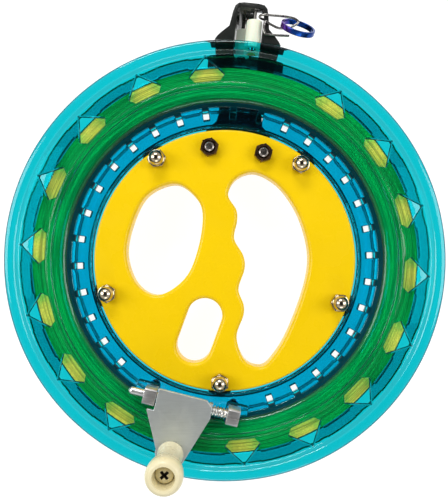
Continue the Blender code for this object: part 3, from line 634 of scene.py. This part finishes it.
def metals():
    return {
        # painted reflection: the chrome cap nuts are darkened and tinted gold for the yellow hub they mirror
        "cap": surface(
            "cap_painted_warm_reflection", ((0.66, 0.57, 0.42), (0.52, 0.44, 0.31)), (0.06, 0.12), 1.0,
            grain=250.0),
        "chrome": surface(
            "nickel_plate", ((0.86, 0.83, 0.78), (0.80, 0.76, 0.70)), (0.05, 0.12), 1.0,
            grain=250.0),
        "nut": surface(
            "oiled_steel", ((0.22, 0.13, 0.08), (0.14, 0.08, 0.05)), (0.22, 0.38), 1.0,
            grain=500.0, bump=0.01),
        "bearing": surface(
            "bearing_steel", ((0.16, 0.16, 0.17), (0.09, 0.09, 0.10)), (0.18, 0.3), 1.0,
            grain=400.0),
        "shield": surface(
            "bearing_shield", ((0.30, 0.30, 0.31), (0.22, 0.22, 0.23)), (0.3, 0.4), 1.0,
            grain=400.0),
        "lug": surface(
            "sawn_steel", ((0.74, 0.73, 0.72), (0.58, 0.57, 0.57)), (0.3, 0.45), 1.0,
            grain=260.0, stretch=(1.0, 9.0, 1.0), turn=CRANK_ANGLE, bump=0.012,
            bump_grain=900.0),
        "plate": surface(
            "brushed_stainless", ((0.64, 0.68, 0.68), (0.59, 0.63, 0.63)), (0.42, 0.52), 1.0,
            grain=160.0, stretch=(1.0, 12.0, 1.0), turn=CRANK_ANGLE, bump=0.006,
            bump_grain=700.0),
        "clip": surface(
            "spring_wire", ((0.34, 0.33, 0.31), (0.24, 0.23, 0.22)), (0.16, 0.28), 1.0,
            grain=600.0),
        "pin": surface(
            "ground_steel_pin", ((0.86, 0.87, 0.86), (0.80, 0.81, 0.80)), (0.28, 0.38), 1.0),
        # painted reflection: the metal screw head is coloured the knob's ivory, which it mirrors from the recess
        # walls round it
        "knob_screw": surface(
            "ivory_reflection_screw_head", ((0.80, 0.72, 0.46), (0.74, 0.66, 0.42)), (0.4, 0.5), 0.1,
            grain=500.0),
        # painted shade: near-black for the inside of the knob screw's cross recess
        "recess": surface(
            "recess_shadow", ((0.030, 0.018, 0.010), (0.016, 0.010, 0.006)), (0.6, 0.8),
            grain=900.0),
        "bolt_end": surface(
            "bolt_steel", ((0.40, 0.36, 0.33), (0.30, 0.26, 0.23)), (0.2, 0.32), 1.0,
            grain=500.0),
    }


def braided_line():
    """Olive-yellow braid: streaks that run along the strands, and a fine weave over them."""
    made = surface(
        "braided_line", ((0.74, 0.75, 0.08), (0.48, 0.52, 0.05)), (0.5, 0.75), grain=1500.0,
        bump=0.03, bump_grain=4200.0)
    nodes, links = made.node_tree.nodes, made.node_tree.links
    shader = nodes["Principled BSDF"]
    weave = shader.inputs["Base Color"].links[0].from_socket
    place = nodes.new("ShaderNodeTexCoord")
    apart = nodes.new("ShaderNodeSeparateXYZ")
    links.new(place.outputs["Object"], apart.inputs["Vector"])
    drift = nodes.new("ShaderNodeVectorMath")
    drift.operation = "DOT_PRODUCT"
    drift.inputs[1].default_value = (0.021, 0.034, 0.0)
    links.new(place.outputs["Object"], drift.inputs[0])
    along = nodes.new("ShaderNodeCombineXYZ")
    links.new(axis_distance(nodes, links, place.outputs["Object"]), along.inputs["X"])
    links.new(apart.outputs["Z"], along.inputs["Y"])
    links.new(drift.outputs["Value"], along.inputs["Z"])
    streaks = nodes.new("ShaderNodeTexNoise")
    streaks.inputs["Scale"].default_value = 1150.0
    streaks.inputs["Detail"].default_value = 1.0
    links.new(along.outputs["Vector"], streaks.inputs["Vector"])
    share = to_range(nodes, links, streaks.outputs["Fac"], 0.0, 0.75, 0.42, 0.60)
    links.new(blended(nodes, links, weave, (0.24, 0.27, 0.02), share),
              shader.inputs["Base Color"])
    return made


def anodised():
    """Anodised metal: royal blue that turns violet at the ring's left end."""
    made = surface(
        "anodised_ring", ((0.012, 0.07, 0.33), (0.006, 0.03, 0.18)), (0.14, 0.24), 1.0,
        grain=350.0)
    nodes, links = made.node_tree.nodes, made.node_tree.links
    shader = nodes["Principled BSDF"]
    blue = shader.inputs["Base Color"].links[0].from_socket
    place = nodes.new("ShaderNodeTexCoord")
    apart = nodes.new("ShaderNodeSeparateXYZ")
    links.new(place.outputs["Object"], apart.inputs["Vector"])
    left = centre("ring").x * MM - RING_RADII[1] * MM
    violet_end = left + RING_RADII[1] * MM * 0.6
    share = to_range(nodes, links, apart.outputs["X"], 1.0, 0.0, left, violet_end)
    links.new(blended(nodes, links, blue, (0.16, 0.03, 0.36), share), shader.inputs["Base Color"])
    return made


# ---------------------------------------------------------------- hub

def lock_slot_outline():
    """The radial slot that takes the knob when the crank is folded right in."""
    inner, outer = LOCK_SLOT_RADII
    steps = 20
    points = []
    for middle, first in ((outer, -90.0), (inner, 90.0)):
        for index in range(steps + 1):
            angle = math.radians(first + 180.0 * index / steps)
            points.append(Vector((
                middle + LOCK_SLOT_HALF_WIDTH * math.cos(angle),
                LOCK_SLOT_HALF_WIDTH * math.sin(angle),
            )))
    turn = Matrix.Rotation(math.radians(LOCK_SLOT_ANGLE), 2)
    return [turn @ point for point in points]


def rounding_levels(z_inner, z_face, radius, steps=6):
    """(height, inset) pairs from the joint up a wall and round its edge onto the face."""
    away = math.copysign(1.0, z_face - z_inner)
    levels = [(z_inner, 0.0)]
    for step in range(steps + 1):
        turn = math.pi / 2 * step / steps
        levels.append((
            z_face - away * radius * (1 - math.sin(turn)), radius * (1 - math.cos(turn)),
        ))
    return [*levels, (z_face, radius * 1.12)]


def hub_plate(node, side, finish):
    z_inner, z_face = MID_Z + side * GAP / 2, MID_Z + side * MID_Z
    loops = [(circle(HUB_RADIUS, 200), -1.0, RIM_ROUNDING)]
    for outline in (smooth_loop(PALM_HOLE, 8), smooth_loop(FINGER_HOLE, 6), lock_slot_outline()):
        loops.append((outline, 1.0, HOLE_ROUNDING))
    bm = bmesh.new()
    ends = {"inner": [], "face": []}
    for outline, outward, radius in loops:
        rings = []
        for z, inset in rounding_levels(z_inner, z_face, radius):
            moved = grown(outline, outward * inset)
            rings.append([bm.verts.new(point) for point in at_height(moved, z)])
        for lower, upper in zip(rings, rings[1:]):
            join(bm, lower, upper)
        for end, ring in (("inner", rings[0]), ("face", rings[-1])):
            ends[end] += [bm.edges.get(pair) for pair in zip(ring, [*ring[1:], ring[0]])]
    for edges in ends.values():
        bmesh.ops.triangle_fill(bm, edges=edges, use_beauty=True)
    plate = piece(f"{node}_shell", bm, finish, node)
    cuts = []
    for at in BEARINGS.values():
        low, high = MID_Z - POCKET_HALF_WIDTH, MID_Z + POCKET_HALF_WIDTH
        cuts.append(skin([at_height(circle(POCKET_RADIUS, 48, at), z) for z in (low, high)]))
    return combine(plate, merged(cuts))


def hexagon(across_flats, height, turn, bore, chamfer=0.45):
    """A hexagon nut standing on 0 with its corners turned down at both faces."""
    corner = across_flats / math.sqrt(3)
    flat = across_flats / 2
    sides = []
    for z, limit in ((0.0, flat), (chamfer, corner), (height - chamfer, corner), (height, flat)):
        ring = []
        for step in range(72):
            angle = math.tau * step / 72
            edge = corner * math.cos(math.pi / 6) / math.cos(
                (angle % (math.pi / 3)) - math.pi / 6)
            reach = min(edge, limit + (corner - flat) * 0.12)
            ring.append((reach * math.cos(angle + math.radians(turn)),
                         reach * math.sin(angle + math.radians(turn)), z))
        sides.append(ring)
    if bore:
        mouth = bore + 0.35
        for radius, z in ((mouth, height), (bore, height - 0.35), (bore, 0.35), (mouth, 0.0)):
            sides.append(at_height(circle(radius, 72, first=turn), z))
    return skin(sides, wrap=bool(bore))


def cap_nut(number, at, turn, finish):
    """A hexagon with a dome on it, over the end of a hub screw."""
    base = HUB_TOP + GAP
    shift = Matrix.Translation((at.x, at.y, base))
    bm = turned(hexagon(NUT_ACROSS_FLATS, NUT_HEIGHT, turn, 0.0), shift)
    nut = piece(f"cap_nut_{number}", bm, finish, f"hub_cap_nut_{number}")
    profile = [(DOME_RADIUS + 0.12, NUT_HEIGHT - 0.6), (DOME_RADIUS + 0.1, NUT_HEIGHT + 0.1),
               (DOME_RADIUS, NUT_HEIGHT + 0.5)]
    for step in range(13):
        angle = math.pi / 2 * step / 12
        profile.append((
            max(DOME_RADIUS * math.cos(angle), 0.02),
            DOME_TOP - DOME_RADIUS + DOME_RADIUS * math.sin(angle),
        ))
    combine(nut, turned(lathe(profile, 48), shift), "UNION")
    return bevel(nut, 0.12, 2)


def pan_head(radius, height):
    """A pan head with its underside at 0, before its recess is cut."""
    profile = [(radius * 0.9, 0.0), (radius, radius * 0.06), (radius, height * 0.35)]
    for step in range(9):
        angle = math.radians(15.0 + 75.0 * step / 8)
        profile.append((
            radius * max(math.cos(angle) ** 0.8, 0.02),
            height * (0.35 + 0.65 * math.sin(angle) ** 1.3),
        ))
    return profile


def cross_recess(top, half_length, half_width, depth):
    """A cutter for a cross recess that narrows with depth."""
    rings = []
    for z, scale in ((top - depth, 0.45), (top - depth * 0.25, 0.92), (top + 0.5, 1.08)):
        long, wide = half_length * scale, half_width * scale
        outline = []
        for quarter in range(4):
            turn = Matrix.Rotation(math.pi / 2 * quarter, 2)
            for corner in ((wide, -wide), (long, -wide), (long, wide)):
                outline.append(turn @ Vector(corner))
        rings.append(at_height(outline, z))
    return skin(rings)


def thread(radius, start, end):
    """(radius, height) points of a threaded shank."""
    profile = []
    z = start
    while z < end - THREAD_PITCH:
        profile += [(radius, z), (radius - THREAD_DEPTH, z + THREAD_PITCH / 2)]
        z += THREAD_PITCH
    return profile


def screw(name, node, finish, matrix, shank, length, head=(HEAD_RADIUS, HEAD_HEIGHT),
          recess_shade=None):
    """A cross-recess pan-head screw: the underside of its head is at the matrix's origin."""
    radius, height = head
    profile = [(shank * 0.7, -length), (shank, 0.4 - length), *thread(shank, 0.5 - length, -1.0)]
    profile += [(shank, -0.8), (shank, 0.0), *pan_head(radius, height)]
    made = piece(name, turned(lathe(profile, 48), matrix), finish, node)
    recess = cross_recess(height, radius * 0.56, radius * 0.17, height * 0.85)
    # the cross recess's faces take the painted-shade finish when one is given
    return combine(made, turned(recess, matrix), finish=recess_shade)


def upside_down(x, y, z, frame_matrix=None):
    """Places a screw whose head hangs below (x, y, z)."""
    flip = Matrix.Translation((x, y, z)) @ Matrix.Rotation(math.pi, 4, "X")
    return frame_matrix @ flip if frame_matrix else flip


def ball_bearing(number, at, finishes):
    """Two rings, and the two shields between them."""
    matrix = Matrix.Translation(at)
    for ring, radii, rounding, steps in (("outer", OUTER_RING_RADII, 0.25, 72),
                                         ("inner", INNER_RING_RADII, 0.2, 48)):
        corners = rectangle(radii, (-BEARING_HALF_WIDTH, BEARING_HALF_WIDTH))
        band = lathe(rounded(with_rounding(corners, rounding), 3), steps, True)
        piece(f"bearing_{number}_{ring}", turned(band, matrix), finishes["bearing"],
              f"bearing_{ring}_ring_{number}")
    shields = []
    for side in (1, -1):
        inner, outer = SHIELD_INNER_RADIUS, OUTER_RING_RADII[0] - 0.02
        outline = [(inner, side * 2.05), (outer, side * 2.05), (outer, side * 2.3),
                   (inner, side * 2.2)]
        shields.append(lathe(outline, 48, True))
    shield = piece(f"bearing_{number}_shields", turned(merged(shields), matrix),
                   finishes["shield"], body=f"bearing_{number}")


def hub(finishes):
    hub_plate("hub_front_plate", 1, finishes["hub"])
    hub_plate("hub_rear_plate", -1, finishes["hub"])
    for (number, at), turn in zip(BEARINGS.items(), CAP_NUT_TURNS):
        cap_nut(number, at, turn, finishes["cap"])
        top = span(f"hub_screw_{number}", 2)[1]
        screw(f"rear_screw_{number}", f"hub_screw_{number}", finishes["chrome"],
              upside_down(at.x, at.y, -GAP), SCREW_RADIUS, top + GAP)
        ball_bearing(number, at, finishes)


# ---------------------------------------------------------------- wheel

def block(radii, half):
    """A rectangle on the radial line, with rounded corners."""
    return rounded(with_rounding(rectangle(radii, (-half, half)), 0.3), 3)


def wheel_cutter(outline, levels, angle):
    """A cutter turned to its angle; levels are (height above MID_Z, widening)."""
    rings = [at_height(grown(outline, wider), MID_Z + z) for z, wider in levels]
    return turned(skin(rings), Matrix.Rotation(math.radians(angle), 4, "Z"))


def slot_cutters(outline, levels):
    cutters = []
    for index in range(SLOT_COUNT):
        if index in SLOTS_SKIPPED or index - SLOT_COUNT in SLOTS_SKIPPED:
            continue
        angle = SLOT_FIRST_ANGLE + index * 360.0 / SLOT_COUNT
        cutters.append(wheel_cutter(outline, levels, angle))
    return cutters


def wheel_cutters(half):
    """The slots and the arrow-shaped holes of one half, each with its edge broken."""
    slot = block(SLOT_RADII[half], SLOT_WIDTH / 2)
    cutters = slot_cutters(slot, SLOT_LEVELS)
    arrow = rounded(with_rounding(FLANGE_HOLE, 0.5), 3)
    for index in range(1, FLANGE_HOLE_COUNT):
        angle = FLANGE_HOLE_FIRST_ANGLE + index * 360.0 / FLANGE_HOLE_COUNT
        cutters.append(wheel_cutter(arrow, FLANGE_HOLE_LEVELS, angle))
    return merged(cutters)


def wheel(finishes):
    profile = rounded(HALF_CORNERS, 3)
    front = piece("wheel_front_shell",
                  lathe([(r, MID_Z + h) for r, h in profile], WHEEL_STEPS, True),
                  finishes["wheel"], "wheel_front_half")
    combine(front, wheel_cutters("front"))
    rear = piece("wheel_rear_shell",
                 lathe([(r, MID_Z - h) for r, h in profile], WHEEL_STEPS, True),
                 finishes["wheel_rear"], "wheel_rear_half")
    mirror = Matrix.Translation((0, 0, 2 * MID_Z)) @ Matrix.Diagonal((1, 1, -1, 1))
    combine(rear, turned(wheel_cutters("rear"), mirror))
    pads = []
    inner, outer = PAD_RADII
    for start, end in PAD_SPANS:
        places = [start + (end - start) * step / 6 for step in range(7)]
        edge = [(math.sqrt(outer ** 2 - y ** 2), y) for y in places]
        outline = rounded(with_rounding(((inner, start), *edge, (inner, end)), 0.9), 3)
        pads.append(turned(slab(outline, MID_Z + PAD_FOOT, PAD_TOP, 0.35), CRANK))
    combine(front, merged(pads), "UNION")
    seats = []
    for low, high in LUG_SPANS.values():
        corners = rectangle(LUG_SEAT, (low - 0.5, high + 0.5))
        outline = rounded(with_rounding(corners, 0.4), 3)
        seats.append(turned(skin([at_height(outline, z) for z in (PAD_TOP - 0.04, 19.0)]), CRANK))
    combine(front, merged(seats))
    winding(finishes["line"])


def winding(finish):
    """The wound line: a ring whose skin is ribbed by its strands, which wander a little."""
    corners = [Vector((radius, height)) for radius, height in WINDING]
    skin_points = []
    travelled = 0.0
    step_length = STRAND_PITCH / 4
    for start, end in zip(corners, corners[1:]):
        length = (end - start).length
        along = (end - start) / length
        outward = Vector((-along.y, along.x))
        for step in range(max(1, round(length / step_length))):
            here = start + along * (step * step_length)
            rib = abs(math.sin(math.pi * (travelled + step * step_length) / STRAND_PITCH))
            skin_points.append((here, outward, (rib - 1.0) * STRAND_PITCH * STRAND_DIP))
        travelled += length
    steps = WHEEL_STEPS
    rings = []
    for here, outward, dip in skin_points:
        ring = []
        for step in range(steps):
            angle = math.tau * step / steps
            spot = Vector((4.0 * math.cos(angle), 4.0 * math.sin(angle), travelled))
            low = noise.noise(spot + Vector((0.0, 0.0, here.x * 1.7 + here.y * 2.3)))
            point = here + outward * (dip - STRAND_WANDER + STRAND_WANDER * low)
            ring.append((point.x * math.cos(angle), point.x * math.sin(angle), MID_Z + point.y))
        rings.append(ring)
    piece("wound_line", skin(rings, wrap=True), finish, "line_winding", sharp=80.0)


# ---------------------------------------------------------------- crank

def lug(side, finish):
    radius = PIN_AT[0]
    low_z, high_z = span(f"hinge_lug_{side}", 2)
    low, high = radius - LUG_HALF_LENGTH, radius + LUG_HALF_LENGTH
    top = [(high, high_z - LUG_CHAMFER), (high - LUG_CHAMFER, high_z)]
    if side == "right":
        top += [(radius + 0.22, high_z), (radius, high_z - LUG_LINE_DEPTH),
                (radius - 0.22, high_z)]
    top += [(low + LUG_CHAMFER, high_z), (low, high_z - LUG_CHAMFER)]
    corners = [(x, -z, 0.0 if abs(x - radius) < 0.3 else 0.25)
               for x, z in ((low, low_z), (high, low_z), *top)]
    bm = turned(along_y(slab(rounded(corners, 3), *LUG_SPANS[side], 0.15)), CRANK)
    made = piece(f"lug_{side}", bm, finish, f"hinge_lug_{side}")
    start, end = LUG_SPANS[side]
    bore = lathe([(PIN_RADIUS + GAP, start - 1), (PIN_RADIUS + GAP, end + 1)])
    shift = Matrix.Translation((radius, 0, PIN_AT[1]))
    combine(made, turned(along_y(bore), CRANK @ shift))


def crank_pin(finish):
    start, end = PIN_ENDS
    profile = []
    for step in range(9):
        angle = math.pi / 2 * step / 8
        profile.append((
            max(PIN_RADIUS * math.sin(angle), 0.02), start + PIN_RADIUS * (1 - math.cos(angle)),
        ))
    profile += [(PIN_RADIUS, end - 0.4), (PIN_RADIUS - 0.35, end)]
    shift = Matrix.Translation((PIN_AT[0], 0, PIN_AT[1]))
    piece("hinge_pin", turned(along_y(lathe(profile, 40)), CRANK @ shift), finish, "crank_pin")


def plate_outline():
    """The crank plate: a notch at the left lug, tapering to a round end about the knob."""
    arc = []
    first, last = PLATE_END_ANGLES
    for index in range(25):
        angle = math.radians(first + (last - first) * index / 24)
        outwards = Vector((math.cos(angle), math.sin(angle)))
        arc.append(Vector(KNOB_AT) + PLATE_END_RADIUS * outwards)
    corners = ((*arc[-1], 0.0), *PLATE_CORNERS, (*arc[0], 0.0))
    return [*rounded(corners, 4), *arc[1:-1]]


def crank_plate(finish):
    radius, height = PIN_AT
    bm = turned(slab(plate_outline(), *PLATE_Z, 0.22), CRANK)
    plate = piece("crank_arm", bm, finish, "crank_plate")
    corners = [(radius + across, -up, rounding) for across, up, rounding in EAR_CORNERS]
    ears = [along_y(slab(rounded(corners, 4), *ear, 0.15)) for ear in EAR_SPANS]
    combine(plate, turned(merged(ears), CRANK), "UNION")
    bore = along_y(lathe([(PIN_RADIUS + GAP, -14.0), (PIN_RADIUS + GAP, 11.0)], 40))
    combine(plate, turned(bore, CRANK @ Matrix.Translation((radius, 0, height))))
    eye_edge = circle(PLATE_EYE_RADIUS, 32, KNOB_AT)
    eye = skin([at_height(eye_edge, z) for z in (PLATE_Z[0] - 1, PLATE_Z[1] + 1)])
    combine(plate, turned(eye, CRANK))


def knob(finishes):
    base = span("knob", 2)[0]
    shift = CRANK @ Matrix.Translation((*KNOB_AT, base))
    outside = smooth_path([(r, z) for r, z in KNOB_PROFILE], 5)
    recess = [(radius, KNOB_FLOOR + up) for radius, up in KNOB_RECESS]
    profile = [(KNOB_BORE, 0.0), (4.7, 0.0), *outside, *recess, (KNOB_BORE, KNOB_FLOOR)]
    piece("crank_knob", turned(lathe(profile, 72, True), shift), finishes["knob"], "knob")
    seat = KNOB_FLOOR + GAP
    screw("knob_axle_screw", "knob_screw", finishes["knob_screw"],
          shift @ Matrix.Translation((0, 0, seat))
          @ Matrix.Rotation(math.radians(KNOB_SCREW_TURN), 4, "Z"),
          KNOB_SCREW_RADIUS, base + seat - span("knob_screw", 2)[0], KNOB_SCREW_HEAD,
          finishes["recess"])
    low = span("knob_nut", 2)[0]
    nut = hexagon(KNOB_NUT_ACROSS_FLATS, KNOB_NUT_HEIGHT, 0.0, KNOB_BORE, 0.3)
    nut = turned(nut, CRANK @ Matrix.Translation((*KNOB_AT, low)))
    piece("knob_lock_nut", nut, finishes["chrome"], "knob_nut")


def crank_spring(finish):
    radius, height = PIN_AT
    ear, lug_face = EAR_SPANS[1][1] + GAP, LUG_SPANS["right"][0] - GAP
    first, last = ear + SPRING_WIRE, lug_face - SPRING_WIRE
    steps = int(SPRING_COILS * 28)
    route = []
    for index in range(steps + 1):
        angle = math.tau * SPRING_COILS * index / steps
        route.append(Vector((
            radius + SPRING_RADIUS * math.cos(angle),
            first + (last - first) * index / steps,
            height + SPRING_RADIUS * math.sin(angle),
        )))
    spring = piece("return_spring", turned(tube(route, SPRING_WIRE), CRANK), finish, "crank_spring")
    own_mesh(spring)


def crank(finishes):
    for side in LUG_SPANS:
        lug(side, finishes["lug"])
        middle = sum(LUG_SPANS[side]) / 2
        low, high = span(f"lug_screw_{side}", 2)
        head_height = LUG_SCREW_HEAD[1]
        matrix = upside_down(LUG_SCREW_AT, middle, low + head_height, CRANK)
        screw(f"lug_{side}_screw", f"lug_screw_{side}", finishes["chrome"], matrix,
              LUG_SCREW_RADIUS, high - low - head_height, LUG_SCREW_HEAD)
    crank_pin(finishes["pin"])
    crank_plate(finishes["plate"])
    knob(finishes)
    crank_spring(finishes["chrome"])


# ---------------------------------------------------------------- line guide

def guide(finishes):
    cad = frame["nodes"]["guide_bracket"]
    bm = bmesh.new()
    bm.from_mesh(cad.data)
    bmesh.ops.scale(bm, vec=(1 / MM, 1 / MM, 1 / MM), verts=bm.verts)
    bmesh.ops.remove_doubles(bm, verts=bm.verts, dist=0.005)
    bmesh.ops.dissolve_limit(bm, angle_limit=math.radians(2), verts=bm.verts, edges=bm.edges)
    bracket = piece("guide_frame", bm, finishes["bracket"], "guide_bracket")
    bevel(bracket, 0.7, 4, limit=28.0)
    for number in (1, 2):
        at = centre(f"guide_nut_{number}")
        low, high = span(f"guide_bolt_{number}", 2)
        screw(f"guide_screw_{number}", f"guide_bolt_{number}", finishes["bolt_end"],
              upside_down(at.x, at.y, low + HEAD_HEIGHT), SCREW_RADIUS, high - low - HEAD_HEIGHT)
        seat = span(f"guide_nut_{number}", 2)[0]
        nut = hexagon(NUT_ACROSS_FLATS, NUT_HEIGHT, GUIDE_ANGLE + GUIDE_NUT_TURN, 2.3)
        piece(f"guide_hex_nut_{number}", turned(nut, Matrix.Translation((at.x, at.y, seat))),
              finishes["nut"], f"guide_nut_{number}")
    for place_name in ("front", "rear"):
        roller(place_name, finishes)
    snap(finishes)


def roller(place_name, finishes):
    joint = JOINTS[f"roller_{place_name}_spin"]
    start = GUIDE.inverted() @ Vector(joint["pos_m"]) / MM
    inner = start.x
    corners = rectangle((ROLLER_BORE, ROLLER_RADIUS), (inner, inner + ROLLER_LENGTH))
    profile = rounded(with_rounding(corners, 0.35), 4)
    shape = turned(along_x(lathe(profile, 64, True), start.y, start.z), GUIDE)
    piece(f"roller_{place_name}", shape, finishes["roller"], f"guide_roller_{place_name}")
    shank, head, end = ROLLER_PIN_RADIUS, ROLLER_PIN_HEAD_RADIUS, ROLLER_PIN_END
    pin = [(1.2, inner - 1.1), (head, inner - 0.85), (head, inner - GAP), (shank, inner - GAP),
           (shank, end - 0.2), (0.5, end)]
    shape = turned(along_x(lathe(pin, 32), start.y, start.z), GUIDE)
    piece(f"roller_pin_{place_name}", shape, finishes["chrome"], f"guide_roller_pin_{place_name}")


def snap(finishes):
    """The snap clip hooks round the arch's right leg; the ring hangs in its loop."""
    hook_x, hook_y, hook_z = CLIP_HOOK_AT
    hook = []
    for degrees in range(-100, 90, 10):
        angle = math.radians(degrees + 90.0)
        hook.append(Vector((
            hook_x,
            hook_y + CLIP_HOOK_RADIUS * math.sin(angle),
            hook_z - CLIP_HOOK_RADIUS * math.cos(angle),
        )))
    end = (hook_x, hook_y, hook_z + CLIP_HOOK_RADIUS)
    path = [*hook, *smooth_path([end, *[(x, y, CLIP_Z) for x, y in CLIP_ROUTE]], 8)]
    piece("snap_wire", turned(tube(path, CLIP_WIRE, 12), GUIDE), finishes["clip"], "snap_clip")

    along = Matrix.Rotation(math.radians(RING_AXIS_ANGLE), 4, "Z")
    tilt = Matrix.Rotation(math.radians(-RING_TILT), 4, "X")
    at = Matrix.Translation(centre("ring"))
    corners = rectangle(RING_RADII, (-RING_HALF_WIDTH, RING_HALF_WIDTH))
    band = lathe(rounded(with_rounding(corners, 0.3), 4), 96, True)
    piece("end_ring", turned(band, at @ along @ tilt), finishes["ring"], "ring")


# ---------------------------------------------------------------- studio

def backdrop(scene):
    """A grey sky, brightest at the sides and dark overhead."""
    world = bpy.data.worlds.new("studio")
    scene.world = world
    world.use_nodes = True
    nodes, links = world.node_tree.nodes, world.node_tree.links
    place = nodes.new("ShaderNodeTexCoord")
    apart = nodes.new("ShaderNodeSeparateXYZ")
    ramp = nodes.new("ShaderNodeValToRGB")
    links.new(place.outputs["Generated"], apart.inputs["Vector"])
    links.new(apart.outputs["Z"], ramp.inputs["Fac"])
    links.new(ramp.outputs["Color"], nodes["Background"].inputs["Color"])
    ramp.color_ramp.elements[0].position = 0.0
    ramp.color_ramp.elements[0].color = (0.25, 0.25, 0.25, 1.0)
    ramp.color_ramp.elements[1].position = 0.95
    ramp.color_ramp.elements[1].color = (0.03, 0.03, 0.03, 1.0)
    for position, grey in ((0.12, 0.25), (0.35, 0.80), (0.65, 0.80), (0.80, 0.35)):
        ramp.color_ramp.elements.new(position).color = (grey, grey, grey, 1.0)
    nodes["Background"].inputs["Strength"].default_value = 0.80


def lamps(scene):
    """Soft lights, as name: (place, power, size), that point at the reel."""
    lights = {
        "left_softbox": ((-0.48, 0.10, 0.42), 1.9, (0.30, 0.44)),
        "right_softbox": ((0.48, 0.04, 0.42), 1.7, (0.30, 0.44)),
        "top_window": ((-0.10, 0.52, 0.40), 1.9, (0.34, 0.16)),
        "front_fill": ((0.05, -0.60, 0.34), 0.7, (0.40, 0.24)),
    }
    for name, (at, power, size) in lights.items():
        data = bpy.data.lights.new(name, "AREA")
        data.shape = "RECTANGLE"
        data.size, data.size_y = size
        data.energy = power
        lamp = bpy.data.objects.new(name, data)
        lamp.location = at
        lamp.rotation_euler = (-Vector(at)).to_track_quat("-Z", "Y").to_euler()
        scene.collection.objects.link(lamp)


def white_floor(scene):
    """Glowing white paper that fades to grey away from the reel."""
    bm = bmesh.new()
    bm.faces.new([bm.verts.new((x, y, FLOOR_Z * MM)) for x, y in rectangle(
        (-FLOOR_REACH, FLOOR_REACH), (-FLOOR_REACH, FLOOR_REACH))])
    mesh = bpy.data.meshes.new("floor")
    bm.to_mesh(mesh)
    bm.free()
    floor = bpy.data.objects.new("floor", mesh)
    scene.collection.objects.link(floor)
    paper, paper_nodes, paper_links = node_tools("white_paper")
    shader = paper_nodes["Principled BSDF"]
    shader.inputs["Base Color"].default_value = (0.22, 0.22, 0.22, 1.0)
    shader.inputs["Roughness"].default_value = 0.9
    shader.inputs["Specular IOR Level"].default_value = 0.1
    shader.inputs["Emission Color"].default_value = (1.0, 1.0, 1.0, 1.0)
    spot = paper_nodes.new("ShaderNodeTexCoord")
    away = paper_nodes.new("ShaderNodeVectorMath")
    away.operation = "LENGTH"
    paper_links.new(spot.outputs["Object"], away.inputs[0])
    glow = to_range(paper_nodes, paper_links, away.outputs["Value"], 0.93, 0.40, 0.17, 0.45)
    paper_links.new(glow, shader.inputs["Emission Strength"])
    mesh.materials.append(paper)


def camera_above(scene):
    camera_data = bpy.data.cameras.new("camera")
    camera_data.lens = 45.09
    camera_data.shift_x = -0.0016
    camera_data.shift_y = 0.0210
    camera_data.clip_start = 0.01
    camera = bpy.data.objects.new("camera", camera_data)
    camera.location = (0.0, 0.0, CAMERA_HEIGHT)
    scene.collection.objects.link(camera)
    scene.camera = camera


def main():
    scene = bpy.context.scene
    scene.view_settings.view_transform = "Standard"
    for part in (backdrop, lamps, white_floor, camera_above):
        part(scene)
    finishes = make_materials()
    hub(finishes)
    wheel(finishes)
    crank(finishes)
    guide(finishes)


main()
